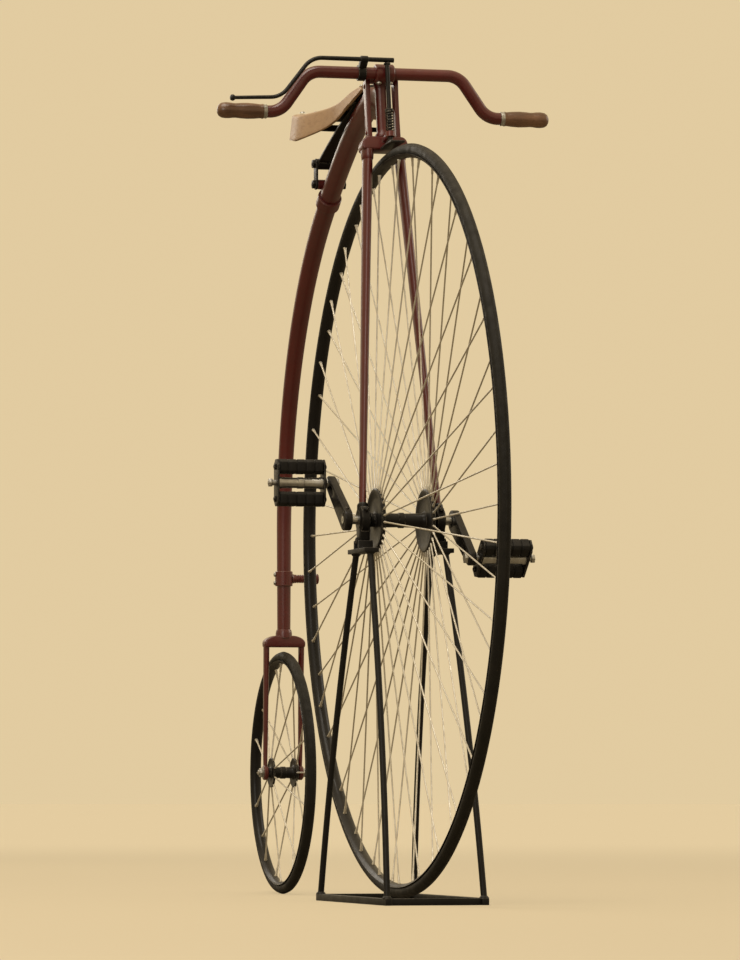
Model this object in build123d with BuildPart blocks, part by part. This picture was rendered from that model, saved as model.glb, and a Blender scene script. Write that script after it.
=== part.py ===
from build123d import *

# A high-wheel bicycle on its display stand, in millimetres.
# +X is forward, +Y the rider's left and +Z up. The origin is on the floor, at the middle of the length.
import os
from math import asin, cos, degrees, radians, sin, sqrt, tan

os.makedirs("parts", exist_ok=True)

# Wheels. A wheel's radius is over its tyre.
wheelbase = 847.0
front_radius = 660.0
rear_radius = 229.0
front_lift = 8.0
front_tyre_section = 22.0
rear_tyre_section = 20.0
rim_wall = 1.5
tyre_play = 0.2
wheel_facets = 8
barrel_facets = 12
shaft_facets = 16
spoke_diameter = 3.0
spoke_facets = 4
flange_facets = 30
spoke_root = 6.0
spoke_play = 0.3
spoke_rim_spread = 3.0
front_spokes_per_side = 30
rear_spokes_per_side = 10

# Front hub, axle and bearings. Places along the axle are from the middle of the bicycle.
front_flange_place = 45.0
front_flange_radius = 56.0
front_flange_thickness = 8.0
front_barrel_radius = 13.0
front_shoulder_radius = 12.0
front_axle_radius = 8.0
bearing_place = 68.0
bearing_width = 20.0
bearing_radius = 24.0
bearing_facets = 24
bearing_foot_width = 22.0
bearing_foot_reach = 50.0
bearing_socket_reach = 30.0
bearing_socket_width = 25.0
bearing_play = 2.0
running_clearance = 0.15

# Cranks and pedals
crank_gap = 13.0
crank_thickness = 14.0
crank_length = 127.0
crank_boss_radius = 19.0
crank_end_radius = 13.0
crank_facets = 20
crank_slot_travel = 34.0
crank_angle_right = 147.0
crank_angle_left = -33.0
pedal_pin_radius = 6.5
pedal_spindle_radius = 5.0
pedal_pin_nut_radius = 10.0
pedal_pin_nut_thickness = 6.0
pedal_pin_collar = 3.0
pedal_end_nut_radius = 8.0
pedal_end_play = 1.0
pedal_gap = 6.0
pedal_length = 88.0
pedal_width = 83.0
pedal_plate_height = 30.0
pedal_plate_thickness = 3.5
pedal_barrel_radius = 11.0
pedal_plate_corner = 9.0
pedal_rubber_size = 26.0
pedal_rubber_corner = 5.0
pedal_rod_radius = 3.0
rod_facets = 6
pedal_angle_right = 90.0
pedal_angle_left = 40.0

# Fork and steering head. Heights in this group are along the steering axis, from the front axle.
rake = 10.0
quarter_turn = 90.0
crown_clearance = 12.0
crown_rise = 24.0
crown_depth = 34.0
crown_shoulder = 10.0
crown_lip = 4.0
blade_top_place = 29.0
blade_top_depth = 30.0
blade_top_width = 18.0
blade_end_depth = 20.0
blade_end_width = 12.0
head_width = 60.0
head_wall = 8.0
head_depth = 23.0
head_lip = 3.0
head_corner = 8.0
spindle_facets = 12
head_back = 9.0
head_window = 104.0
head_bridge = 16.0
head_bolt_radius = 9.0
head_bolt_rise = 9.0
spindle_radius = 10.0
journal_radius = 6.0
journal_length = 10.0
end_play = 0.5

# Handlebar, grips and brake
bar_radius = 11.0
bar_forward = 28.0
bar_below_head_top = 8.0
bar_splay = 52.0
bar_drop = 74.0
bar_grip_gap = 25.0
bar_half_width = 305.0
bar_bend_radius = 40.0
bar_facets = 8
lug_width = 34.0
lug_wall = 6.0
grip_length = 90.0
grip_radius = 14.5
grip_neck_radius = 12.5
grip_end_wall = 7.0
grip_taper = 26.0
grip_end_bevel = 4.0
plunger_gap = 3.0
plunger_radius = 4.0
spoon_gap = 8.0
spoon_thickness = 4.0
spoon_width = 26.0
spoon_start = 2.3
spoon_end = 8.5
guide_thickness = 10.0
guide_wall = 4.0
guide_drop = 2.0
lever_radius = 4.5
lever_facets = 6
lever_inner_end = 12.0
lever_spread = 4.0
lever_fall = 2.0
lever_above_bar = 22.0
lever_ahead_of_bar = 22.0
lever_short_of_bar = 20.0
lever_clamp_place = 42.0
lever_clamp_width = 14.0

# Backbone: arcs that follow one another from the neck to the tail, then a straight run.
# Headings are degrees below level, looking backwards.
halvings = 40
neck_heading = 13.0
backbone_gap = 125.0
backbone_tail_gap = 50.0
backbone_back_radius = 1500.0
backbone_headings = (28.0, 36.0, 90.0)
backbone_front_radius = 20.0
backbone_tail_radius = 12.5
backbone_facets = 10
neck_web = 13.0
neck_web_height = 34.0
neck_swell = 22.0
neck_swell_end = 12.0
neck_fillet = 20.0
neck_fillet_way = (-0.2, 1.0)
neck_overlap = 1.0
neck_step = 1.0
neck_top_play = 3.0

# Rear fork and rear hub
rear_crown_gap = 8.0
rear_crown_rise = 22.0
rear_crown_depth = 26.0
rear_crown_lip = 3.0
rear_crown_shoulder = 14.0
rear_blade_place = 34.0
rear_blade_top_depth = 20.0
rear_blade_top_width = 11.0
rear_blade_end_depth = 14.0
rear_blade_sink = 2.0
rear_eye_radius = 14.0
rear_eye_thickness = 8.0
rear_axle_radius = 5.0
rear_nut_radius = 9.5
rear_nut_thickness = 7.0
rear_axle_overhang = 3.0
rear_flange_place = 22.0
rear_flange_radius = 28.0
rear_flange_thickness = 4.0
rear_barrel_radius = 11.0
rear_shoulder_radius = 10.0

# Leaf spring and shackle. The spring starts on the backbone's top, behind the neck's end.
spring_setback = 6.0
spring_radius = 1900.0
spring_turn = 10.0
spring_thickness = 5.0
spring_front_width = 24.0
spring_tail_width = 44.0
spring_eye_radius = 10.0
shackle_bolt_radius = 5.0
shackle_lug_wall = 4.0
shackle_lug_gap = 3.0
shackle_plate = 4.0
shackle_nut = 6.0
shackle_nut_radius = 8.5
clip_wall = 4.0
clip_width = 24.0
band_play = 0.3

# Saddle. Places are behind the spring's front end and heights are above it.
leather_thickness = 5.0
saddle_height = 60.0
saddle_sections = (  # place, height of the top, half width, depth of the skirt
    (15.0, 6.2, 20.0, 5.5),
    (45.0, 1.2, 29.0, 17.0),
    (122.0, -16.8, 47.0, 34.0),
    (202.0, -23.8, 89.0, 48.0),
    (265.0, -16.8, 90.0, 50.0),
)
rail_radius = 3.0
rail_front = (49.0, 18.0, -18.8)  # place, distance from the middle, height
rail_back = (253.0, 52.0, -44.8)
cantle_thickness = 6.0
cantle_depth = 12.0
saddle_clamp_place = 152.0
saddle_clamp_length = 24.0

# Mounting step, on the left of the backbone
step_height = 596.0
step_radius = 8.0
step_length = 52.0
step_cap_radius = 10.0
step_facets = 12
step_cap_length = 5.0
step_band_height = 28.0
step_band_wall = 3.5

# Display stand
stand_rod = 12.0
cradle_length = 116.0
cradle_width = 26.0
cradle_thickness = 8.0
cradle_lip = 6.0
cradle_lip_rise = 14.0
seat_play = 0.3
leg_top_inset = 10.0
leg_radius = 5.5
leg_facets = 8
leg_chords = 3
leg_bow = 16.0
foot_reach = 225.0
foot_place = 86.0

# Places that follow from the sizes above
middle = (front_radius - wheelbase - rear_radius) / 2
front_axle = Vector(-middle, 0, front_radius + front_lift)
rear_axle = front_axle + Vector(-wheelbase, 0, rear_radius - front_radius - front_lift)
crank_place = bearing_place + bearing_width / 2 + crank_gap + crank_thickness / 2
crown_height = front_radius + crown_clearance
head_window_start = crown_height + crown_rise
head_bridge_start = head_window_start + head_window
head_top = head_bridge_start + head_bridge
plunger_forward = bar_forward + bar_radius + lug_wall + plunger_gap + plunger_radius
bar_low_place = bar_half_width - grip_length - bar_grip_gap
bar_flat = bar_low_place - bar_splay


def upright(place, lean=0.0, y=0.0):
    """A plane seen from the right: its x leans up from forward by the angle, its y is a quarter turn on."""
    return Plane((place.X, y, place.Z), x_dir=(cos(radians(lean)), 0, sin(radians(lean))), z_dir=(0, -1, 0))


def across(place):
    """A plane across the bicycle: its x is to the left and its y is up."""
    return Plane(place, x_dir=(0, 1, 0), z_dir=(1, 0, 0))


def tube(radius, facets, mode=Mode.ADD):
    """A round tube's section, drawn with a flat on each side of its plane's axes."""
    return RegularPolygon(radius, facets, rotation=180 / facets, mode=mode)


def bore(shaft_radius, mode=Mode.SUBTRACT):
    """A hole's section, with its flats a running clearance off a shaft of a radius."""
    return RegularPolygon(shaft_radius + running_clearance, shaft_facets, major_radius=False, mode=mode)


steering = Plane(
    front_axle,
    x_dir=(cos(radians(rake)), 0, sin(radians(rake))),
    z_dir=(-sin(radians(rake)), 0, cos(radians(rake))),
)
sides = (("left", 1), ("right", -1))

# Wheels. Each turns about its axle's line. A hub is a barrel between two flanges, whose shoulders run up to
# the bearings or the fork's eyes.
shoulder_place = bearing_place - bearing_width / 2 - bearing_play
rear_shoulder_place = rear_blade_place - rear_eye_thickness / 2 - bearing_play
wheels = (  # name, axle, radius, tyre section, and of the hub: flange radius, place and thickness, barrel
            # radius, shoulder radius and place, bore radius, spokes a side
    ("front", front_axle, front_radius, front_tyre_section, front_flange_radius, front_flange_place,
     front_flange_thickness, front_barrel_radius, front_shoulder_radius, shoulder_place, front_axle_radius,
     front_spokes_per_side),
    ("rear", rear_axle, rear_radius, rear_tyre_section, rear_flange_radius, rear_flange_place,
     rear_flange_thickness, rear_barrel_radius, rear_shoulder_radius, rear_shoulder_place, rear_axle_radius,
     rear_spokes_per_side),
)
for (wheel, axle, radius, section, flange_radius, flange_place, flange_thickness, barrel_radius,
     hub_end_radius, hub_end_place, bore_radius, spokes_per_side) in wheels:
    axle_line = Axis(axle, (0, 1, 0))
    tyre_centre = radius - section / 2
    groove_radius = section / 2 + tyre_play
    rim_radius = groove_radius + rim_wall
    rim_centre = tyre_centre - rim_wall
    rim_inside = rim_centre - rim_radius
    rim_edge = rim_centre - rim_radius * tan(radians(180 / wheel_facets))

    # A solid rubber tyre, cemented into its rim.
    with BuildPart() as tyre:
        with BuildSketch(across(axle)):
            with Locations((0, tyre_centre)):
                RegularPolygon(section / 2, wheel_facets, major_radius=False, rotation=180 / wheel_facets)
        revolve(axis=axle_line)
    tyre.part.label = f"{wheel}_tyre"
    export_step(tyre.part, f"parts/{wheel}_tyre.step")

    # A trough of a rim, open outwards for the tyre.
    with BuildPart() as rim:
        with BuildSketch(across(axle)):
            with Locations((0, rim_centre)):
                RegularPolygon(rim_radius, wheel_facets, major_radius=False, rotation=180 / wheel_facets)
            with Locations((0, tyre_centre)):
                RegularPolygon(
                    groove_radius, wheel_facets, major_radius=False, rotation=180 / wheel_facets,
                    mode=Mode.SUBTRACT,
                )
            with Locations((0, rim_edge)):
                Rectangle(2 * section, 2 * section, align=(Align.CENTER, Align.MIN), mode=Mode.SUBTRACT)
        revolve(axis=axle_line)
    rim.part.label = f"{wheel}_rim"
    export_step(rim.part, f"parts/{wheel}_rim.step")

    # The hub, with radial spokes screwed into each flange in turn. They end just short of the rim.
    with BuildPart() as hub:
        for length, tube_radius in ((2 * flange_place, barrel_radius), (2 * hub_end_place, hub_end_radius)):
            with BuildSketch(upright(axle)):
                tube(tube_radius, barrel_facets)
            extrude(amount=length / 2, both=True)
        pitch = 360 / spokes_per_side
        for side, turn in ((1, 0), (-1, pitch / 2)):
            with BuildSketch(upright(axle, turn, side * flange_place)):
                RegularPolygon(flange_radius, flange_facets, major_radius=False, rotation=180 / flange_facets)
            extrude(amount=flange_thickness / 2, both=True)
            for k in range(spokes_per_side):
                angle = radians(turn + k * pitch)
                spoke_way = Vector(cos(angle), 0, sin(angle))
                start = axle + spoke_way * (flange_radius - spoke_root) + Vector(0, side * flange_place, 0)
                end = axle + spoke_way * (rim_inside - spoke_play) + Vector(0, side * spoke_rim_spread, 0)
                with BuildSketch(Plane(start, x_dir=(-sin(angle), 0, cos(angle)), z_dir=end - start)):
                    RegularPolygon(spoke_diameter / 2, spoke_facets)
            extrude(amount=(end - start).length)
        with BuildSketch(upright(axle)):
            bore(bore_radius, mode=Mode.ADD)
        extrude(amount=hub_end_place, both=True, mode=Mode.SUBTRACT)
    hub.part.label = f"{wheel}_hub_spokes"
    export_step(hub.part, f"parts/{wheel}_hub_spokes.step")

# Front axle, from the face of one crank to that of the other.
with BuildPart() as front_axle_bar:
    with BuildSketch(upright(front_axle)):
        tube(front_axle_radius, shaft_facets)
    extrude(amount=crank_place + crank_thickness / 2, both=True)
front_axle_bar.part.label = "front_axle"
export_step(front_axle_bar.part, "parts/front_axle.step")

# Cranks and pedal pins. The right crank points back and up, the left one forward and down.
crank_inside = crank_place - crank_thickness / 2
crank_outside = crank_place + crank_thickness / 2
pedal_start = crank_outside + pedal_gap
pedal_end = pedal_start + pedal_length
pedal_middle = pedal_start + pedal_length / 2
crank_table = (  # name, side, crank's angle above forward, angle of the pedal's tread
    ("left", 1, crank_angle_left, pedal_angle_left),
    ("right", -1, crank_angle_right, pedal_angle_right),
)


def pin_place(crank_angle):
    """The point in the bicycle's middle plane that a pedal pin's line passes through."""
    return front_axle + Vector(cos(radians(crank_angle)), 0, sin(radians(crank_angle))) * crank_length


# Flat forged cranks with a slot, in which the pedal pin can be moved to suit the rider's leg.
with BuildPart() as cranks:
    for name, side, crank_angle, pedal_angle in crank_table:
        with BuildSketch(upright(front_axle, crank_angle, side * crank_place)):
            tube(crank_boss_radius, crank_facets)
            with Locations((crank_length, 0)):
                tube(crank_end_radius, crank_facets)
            make_hull()
            bore(front_axle_radius)
            with Locations((crank_length - crank_slot_travel / 2, 0)):
                SlotCenterToCenter(
                    crank_slot_travel, 2 * (pedal_pin_radius + running_clearance), mode=Mode.SUBTRACT
                )
    extrude(amount=crank_thickness / 2, both=True)
cranks.part.label = "cranks"
export_step(cranks.part, "parts/cranks.step")

# Pedal pins: a nut inside the crank, a shank in its slot, a collar, the pedal's spindle and an end nut.
with BuildPart() as pins:
    for name, side, crank_angle, pedal_angle in crank_table:
        pin = pin_place(crank_angle)
        spindle_end = pedal_end + pedal_end_play
        for start, length, radius, is_nut in (
            (crank_inside - pedal_pin_nut_thickness, pedal_pin_nut_thickness, pedal_pin_nut_radius, True),
            (crank_inside, crank_thickness, pedal_pin_radius, False),
            (crank_outside, pedal_pin_collar, pedal_pin_nut_radius, True),
            (crank_outside, spindle_end - crank_outside, pedal_spindle_radius, False),
            (spindle_end, pedal_pin_nut_thickness, pedal_end_nut_radius, True),
        ):
            with BuildSketch(upright(pin, y=side * (start + length / 2))):
                if is_nut:
                    RegularPolygon(radius, 6)
                else:
                    tube(radius, spindle_facets)
            extrude(amount=length / 2, both=True)
pins.part.label = "pedal_pins"
export_step(pins.part, "parts/pedal_pins.step")

# Pedals, which turn on the pins' spindles
rubber_place = (pedal_width - pedal_rubber_size) / 2
plate_middle = (pedal_length - pedal_plate_thickness) / 2
for name, side, crank_angle, pedal_angle in crank_table:
    pin = pin_place(crank_angle)

    # The cage: two end plates, the barrel on the spindle and a rod through each rubber.
    with BuildPart() as cage:
        for plate in (-plate_middle, plate_middle):
            with BuildSketch(upright(pin, pedal_angle, side * pedal_middle + plate)):
                outline = Rectangle(pedal_width, pedal_plate_height)
                chamfer(outline.vertices(), pedal_plate_corner)
                bore(pedal_spindle_radius)
            extrude(amount=pedal_plate_thickness / 2, both=True)
        with BuildSketch(upright(pin, pedal_angle, side * pedal_middle)):
            tube(pedal_barrel_radius, barrel_facets)
            bore(pedal_spindle_radius)
            with Locations((rubber_place, 0), (-rubber_place, 0)):
                tube(pedal_rod_radius, rod_facets)
        extrude(amount=plate_middle, both=True)
    cage.part.label = f"pedal_cage_{name}"
    export_step(cage.part, f"parts/pedal_cage_{name}.step")

    # Two blocks of rubber between the plates, with bevelled corners.
    with BuildPart() as rubbers:
        with BuildSketch(upright(pin, pedal_angle, side * pedal_middle)):
            with Locations((rubber_place, 0), (-rubber_place, 0)):
                blocks = Rectangle(pedal_rubber_size, pedal_rubber_size)
            chamfer(blocks.vertices(), pedal_rubber_corner)
            with Locations((rubber_place, 0), (-rubber_place, 0)):
                tube(pedal_rod_radius + running_clearance, rod_facets, mode=Mode.SUBTRACT)
        extrude(amount=pedal_length / 2 - pedal_plate_thickness - seat_play, both=True)
    rubbers.part.label = f"pedal_rubbers_{name}"
    export_step(rubbers.part, f"parts/pedal_rubbers_{name}.step")

# Bearing housings: a round body on the axle, a socket for the fork blade and a foot below.
with BuildPart() as bearings:
    for name, side in sides:
        with BuildSketch(upright(front_axle, y=side * bearing_place)):
            tube(bearing_radius, bearing_facets)
            Rectangle(bearing_foot_width, bearing_foot_reach, align=(Align.CENTER, Align.MAX))
            Rectangle(
                bearing_socket_width, bearing_socket_reach, rotation=rake, align=(Align.CENTER, Align.MIN)
            )
            bore(front_axle_radius)
    extrude(amount=bearing_width / 2, both=True)
bearings.part.label = "bearings"
export_step(bearings.part, "parts/bearings.step")

# Fork blades: straight oval tubes that taper downwards and spread to clear the hub.
with BuildPart() as blades:
    for name, side in sides:
        with BuildSketch(steering.offset(bearing_socket_reach)):
            with Locations((0, side * bearing_place)):
                SlotOverall(blade_end_depth, blade_end_width)
        with BuildSketch(steering.offset(crown_height)):
            with Locations((0, side * blade_top_place)):
                SlotOverall(blade_top_depth, blade_top_width)
        loft(ruled=True)
blades.part.label = "fork_blades"
export_step(blades.part, "parts/fork_blades.step")

# The open steering head: a crown over the blades, two walls and a bridge, which the neck looks through.
crown_width = 2 * blade_top_place + blade_top_width + 2 * crown_lip
guide_height = head_window_start - guide_thickness - guide_drop
head_middle = head_depth / 2 - head_back
with BuildPart() as fork_head:
    with BuildSketch(Plane(front_axle, x_dir=(0, 1, 0), z_dir=steering.x_dir)):
        with BuildLine():
            Polyline(
                (-crown_width / 2, crown_height), (-crown_width / 2, crown_height + crown_shoulder),
                (-head_width / 2, head_window_start), (head_width / 2, head_window_start),
                (crown_width / 2, crown_height + crown_shoulder), (crown_width / 2, crown_height), close=True,
            )
        make_face()
    extrude(amount=crown_depth / 2, both=True)
    with BuildSketch(steering.offset(head_window_start)):
        for side in (1, -1):
            with Locations((head_middle, side * (head_width - head_wall) / 2)):
                Rectangle(head_depth, head_wall)
    extrude(amount=head_window)
    with BuildSketch(steering.offset(head_bridge_start)):
        with Locations((head_middle, 0)):
            outline = Rectangle(head_depth + 2 * head_lip, head_width)
        chamfer(outline.vertices(), head_corner)
    extrude(amount=head_bridge)
    # A lug on the front of the crown guides the brake plunger.
    with BuildSketch(steering.offset(guide_height)):
        with Locations((plunger_forward, 0)):
            tube(plunger_radius + guide_wall, barrel_facets)
        Rectangle(plunger_forward, 2 * plunger_radius + guide_wall, align=(Align.MIN, Align.CENTER))
    extrude(amount=guide_thickness)
    with BuildSketch(steering.offset(guide_height)):
        with Locations((plunger_forward, 0)):
            tube(plunger_radius + seat_play, barrel_facets)
    extrude(amount=guide_thickness, mode=Mode.SUBTRACT)
    with BuildSketch(steering.offset(head_window_start)):
        bore(journal_radius, mode=Mode.ADD)
    extrude(amount=-journal_length - end_play, mode=Mode.SUBTRACT)
    with BuildSketch(steering.offset(head_top)):
        bore(journal_radius, mode=Mode.ADD)
    extrude(amount=-head_bridge, mode=Mode.SUBTRACT)
fork_head.part.label = "fork_head"
export_step(fork_head.part, "parts/fork_head.step")

# The head bolt closes the top bearing and sets its play.
with BuildPart() as head_bolt:
    with BuildSketch(steering.offset(head_bridge_start + journal_length + end_play)):
        tube(journal_radius, spindle_facets)
    extrude(amount=head_bridge - journal_length - end_play)
    with BuildSketch(steering.offset(head_top)):
        RegularPolygon(head_bolt_radius, 6)
    extrude(amount=head_bolt_rise)
head_bolt.part.label = "head_bolt"
export_step(head_bolt.part, "parts/head_bolt.step")

# The handlebar, one tube with a level middle, a drop on each side and level ends.
head_front = head_middle + head_depth / 2 + head_lip
bar_height = head_top - bar_below_head_top
bar_centre = steering.from_local_coords(Vector(bar_forward, 0, bar_height))
bar_end = bar_half_width - grip_end_wall
bar_route = [
    (-bar_end, -bar_drop), (-bar_low_place, -bar_drop), (-bar_flat, 0),
    (bar_flat, 0), (bar_low_place, -bar_drop), (bar_end, -bar_drop),
]
with BuildPart() as handlebar:
    with BuildLine(across(bar_centre)) as bar_line:
        FilletPolyline(*bar_route, radius=bar_bend_radius)
    with BuildSketch(Plane(bar_line.line @ 0, x_dir=(1, 0, 0), z_dir=bar_line.line % 0)):
        tube(bar_radius, bar_facets)
    sweep(path=bar_line.line)
handlebar.part.label = "handlebar"
export_step(handlebar.part, "parts/handlebar.step")

# The lug that holds the bar in front of the head.
with BuildPart() as bar_lug:
    with BuildSketch(upright(front_axle, rake)):
        with Locations((bar_forward, bar_height)):
            tube(bar_radius + lug_wall, bar_facets)
        with Locations((head_front, bar_height)):
            Rectangle(bar_forward - head_front, 2 * bar_radius, align=(Align.MIN, Align.CENTER))
        with Locations((bar_forward, bar_height)):
            RegularPolygon(
                bar_radius + running_clearance, bar_facets, rotation=180 / bar_facets - rake,
                mode=Mode.SUBTRACT,
            )
        with Locations((head_front, bar_height)):
            Rectangle(4 * lug_wall, 4 * lug_width, align=(Align.MAX, Align.CENTER), mode=Mode.SUBTRACT)
    extrude(amount=lug_width / 2, both=True)
bar_lug.part.label = "bar_lug"
export_step(bar_lug.part, "parts/bar_lug.step")

# Turned grips over the bar's ends, closed at the outside. They swell towards the palm.
grip_start = bar_half_width - grip_length
grip_height = bar_centre.Z - bar_drop
with BuildPart() as grips:
    for name, side in sides:
        for place, radius in (
            (grip_start, grip_neck_radius), (bar_half_width - grip_taper, grip_radius),
            (bar_half_width, grip_neck_radius - grip_end_bevel),
        ):
            with BuildSketch(upright(Vector(bar_centre.X, 0, grip_height), y=side * place)):
                tube(radius, barrel_facets)
        loft(ruled=True)
        with BuildSketch(upright(Vector(bar_centre.X, 0, grip_height), y=side * (grip_start + bar_end) / 2)):
            tube(bar_radius + running_clearance, bar_facets)
        extrude(amount=(bar_end - grip_start) / 2 + seat_play, both=True, mode=Mode.SUBTRACT)
grips.part.label = "grips"
export_step(grips.part, "parts/grips.step")

# The brake plunger: a rod down the front of the head and a spoon over the tyre.
spoon_inside = front_radius + spoon_gap
spoon_outside = spoon_inside + spoon_thickness
lever_centre = bar_centre + Vector(lever_ahead_of_bar, 0, lever_above_bar)
plunger_foot = sqrt(spoon_outside**2 - plunger_forward**2) - spoon_thickness / 2
plunger_top = steering.to_local_coords(lever_centre).Z - lever_radius - seat_play
with BuildPart() as brake_plunger:
    with BuildSketch(upright(front_axle, rake)):
        with BuildLine():
            arc_start, arc_turn = quarter_turn - spoon_end, spoon_end - spoon_start
            inside = CenterArc((0, 0), spoon_inside, arc_start, arc_turn)
            outside = CenterArc((0, 0), spoon_outside, arc_start, arc_turn)
            Line(inside @ 0, outside @ 0)
            Line(inside @ 1, outside @ 1)
        make_face()
    extrude(amount=spoon_width / 2, both=True)
    with BuildSketch(steering.offset(plunger_foot)):
        with Locations((plunger_forward, 0)):
            tube(plunger_radius, barrel_facets)
    extrude(amount=plunger_top - plunger_foot)
brake_plunger.part.label = "brake_plunger"
export_step(brake_plunger.part, "parts/brake_plunger.step")

# The brake lever on the right, held on the bar by a clamp.
plunger_end = steering.from_local_coords(Vector(plunger_forward, 0, plunger_top))
lever_middle = Vector(plunger_end.X, 0, lever_centre.Z)
lever_reach = bar_half_width - lever_short_of_bar
with BuildPart() as brake_lever:
    with BuildLine(across(lever_middle)) as lever_line:
        FilletPolyline(
            (lever_inner_end, 0), (-bar_flat, 0),
            (-bar_low_place - lever_spread, -bar_drop + lever_fall), (-lever_reach, -bar_drop - lever_fall),
            radius=bar_bend_radius,
        )
    with BuildSketch(Plane(lever_line.line @ 0, x_dir=(1, 0, 0), z_dir=lever_line.line % 0)):
        tube(lever_radius, lever_facets)
    sweep(path=lever_line.line)
    with BuildSketch(upright(bar_centre, y=-lever_clamp_place)):
        tube(bar_radius + lug_wall / 2, bar_facets)
        with BuildLine():
            post = Line((0, 0), (lever_middle.X - bar_centre.X, lever_above_bar))
        trace(post, line_width=2 * lever_radius)
        tube(bar_radius + running_clearance, bar_facets, mode=Mode.SUBTRACT)
    extrude(amount=lever_clamp_width / 2, both=True)
brake_lever.part.label = "brake_lever"
export_step(brake_lever.part, "parts/brake_lever.step")

# Backbone: a tapered tube that follows the front wheel's edge, then drops to the rear fork. Its arcs take
# their radii from the wheel, apart from the middle one.
rear_crown_bottom = rear_axle.Z + rear_radius + rear_crown_gap
rear_crown_top = rear_crown_bottom + rear_crown_rise
neck_distance = front_radius + backbone_gap
backbone_radii = (neck_distance, backbone_back_radius, front_radius + backbone_tail_gap)
neck_end = front_axle + Vector(-sin(radians(neck_heading)), 0, cos(radians(neck_heading))) * neck_distance
with BuildPart() as backbone:
    with BuildLine(Plane.XZ) as backbone_line:
        point, heading = neck_end, neck_heading
        for radius, end_heading in zip(backbone_radii, backbone_headings):
            way = (-cos(radians(heading)), -sin(radians(heading)))
            arc = JernArc(point, way, radius, end_heading - heading)
            point, heading = arc @ 1, end_heading
        tail_end = Vector(point.X, 0, rear_crown_top)
        Line(point, tail_end)
    line = backbone_line.line
    for end, radius in ((0, backbone_front_radius), (1, backbone_tail_radius)):
        with BuildSketch(Plane(line @ end, x_dir=(0, 1, 0), z_dir=line % end)):
            tube(radius, backbone_facets)
    sweep(path=line, multisection=True)
backbone.part.label = "backbone"
export_step(backbone.part, "parts/backbone.step")


def backbone_at(letter, value):
    """The backbone's middle, way and radius where its X or Z, which both fall backwards, is a value."""
    low, high = 0.0, 1.0
    for _ in range(halvings):
        share = (low + high) / 2
        if getattr(line @ share, letter) > value:
            low = share
        else:
            high = share
    radius = backbone_front_radius + share * (backbone_tail_radius - backbone_front_radius)
    return line @ share, line % share, radius


# The neck: a spindle between the head's bearings and a web that swells into the backbone.
neck_plane = Plane(neck_end, x_dir=(0, 1, 0), z_dir=line % 0)
with BuildPart() as neck:
    for ahead, radius in ((0, backbone_front_radius), (neck_swell, neck_swell_end)):
        with BuildSketch(neck_plane.offset(-ahead)):
            tube(radius, backbone_facets)
    loft(ruled=True)
    with BuildSketch(upright(front_axle, rake)):
        with BuildLine():
            near = steering.to_local_coords(neck_end)
            back = near.X + neck_overlap
            top, foot = near.Z + neck_web_height / 2 - neck_step, near.Z - neck_web_height / 2 + neck_step
            Polyline(
                (back, foot), (back, top), (0, head_bridge_start - neck_top_play), (0, foot - neck_fillet),
            )
            TangentArc((0, foot - neck_fillet), (back, foot), tangent=neck_fillet_way)
        make_face()
    extrude(amount=neck_web / 2, both=True)
    for start, end in (
        (head_window_start - journal_length, head_window_start + end_play),
        (head_bridge_start - end_play, head_bridge_start + journal_length),
    ):
        with BuildSketch(steering.offset(start)):
            tube(journal_radius, shaft_facets)
        extrude(amount=end - start)
    with BuildSketch(steering.offset(head_window_start + end_play)):
        tube(spindle_radius, spindle_facets)
    extrude(amount=head_window - 2 * end_play)
neck.part.label = "neck"
export_step(neck.part, "parts/neck.step")

# Rear fork: a crown over the small wheel and two blades that end in eyes for the axle.
with BuildPart() as rear_crown:
    with BuildSketch(across(tail_end)):
        half_bottom = rear_blade_place + rear_blade_top_width / 2
        half_top = backbone_tail_radius + rear_crown_lip
        with BuildLine():
            Polyline(
                (-half_bottom, -rear_crown_rise), (-half_bottom, -rear_crown_shoulder), (-half_top, 0),
                (half_top, 0), (half_bottom, -rear_crown_shoulder), (half_bottom, -rear_crown_rise),
                close=True,
            )
        make_face()
    extrude(amount=rear_crown_depth / 2, both=True)
rear_crown.part.label = "rear_fork_crown"
export_step(rear_crown.part, "parts/rear_fork_crown.step")

rear_blade_foot = rear_axle.Z + rear_eye_radius - rear_blade_sink
with BuildPart() as rear_blades:
    for name, side in sides:
        for x, height, depth, width in (
            (rear_axle.X, rear_blade_foot, rear_blade_end_depth, rear_eye_thickness),
            (tail_end.X, rear_crown_bottom, rear_blade_top_depth, rear_blade_top_width),
        ):
            with BuildSketch(Plane((x, side * rear_blade_place, height))):
                tube(depth / 2, barrel_facets)
                scale(by=(1, width / depth, 1))
        loft(ruled=True)
        with BuildSketch(upright(rear_axle, y=side * rear_blade_place)):
            tube(rear_eye_radius, barrel_facets)
        extrude(amount=rear_eye_thickness / 2, both=True)
    with BuildSketch(upright(rear_axle)):
        bore(rear_axle_radius, mode=Mode.ADD)
    extrude(amount=rear_blade_place + rear_eye_thickness, both=True, mode=Mode.SUBTRACT)
rear_blades.part.label = "rear_fork_blades"
export_step(rear_blades.part, "parts/rear_fork_blades.step")

# The fixed rear axle, with a nut outside each eye.
rear_nut_place = rear_blade_place + (rear_eye_thickness + rear_nut_thickness) / 2
with BuildPart() as rear_axle_bar:
    with BuildSketch(upright(rear_axle)):
        tube(rear_axle_radius, shaft_facets)
    extrude(amount=rear_nut_place + rear_nut_thickness / 2 + rear_axle_overhang, both=True)
    for side in (1, -1):
        with BuildSketch(upright(rear_axle, y=side * rear_nut_place)):
            RegularPolygon(rear_nut_radius, 6)
        extrude(amount=rear_nut_thickness / 2, both=True)
rear_axle_bar.part.label = "rear_axle"
export_step(rear_axle_bar.part, "parts/rear_axle.step")

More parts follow.
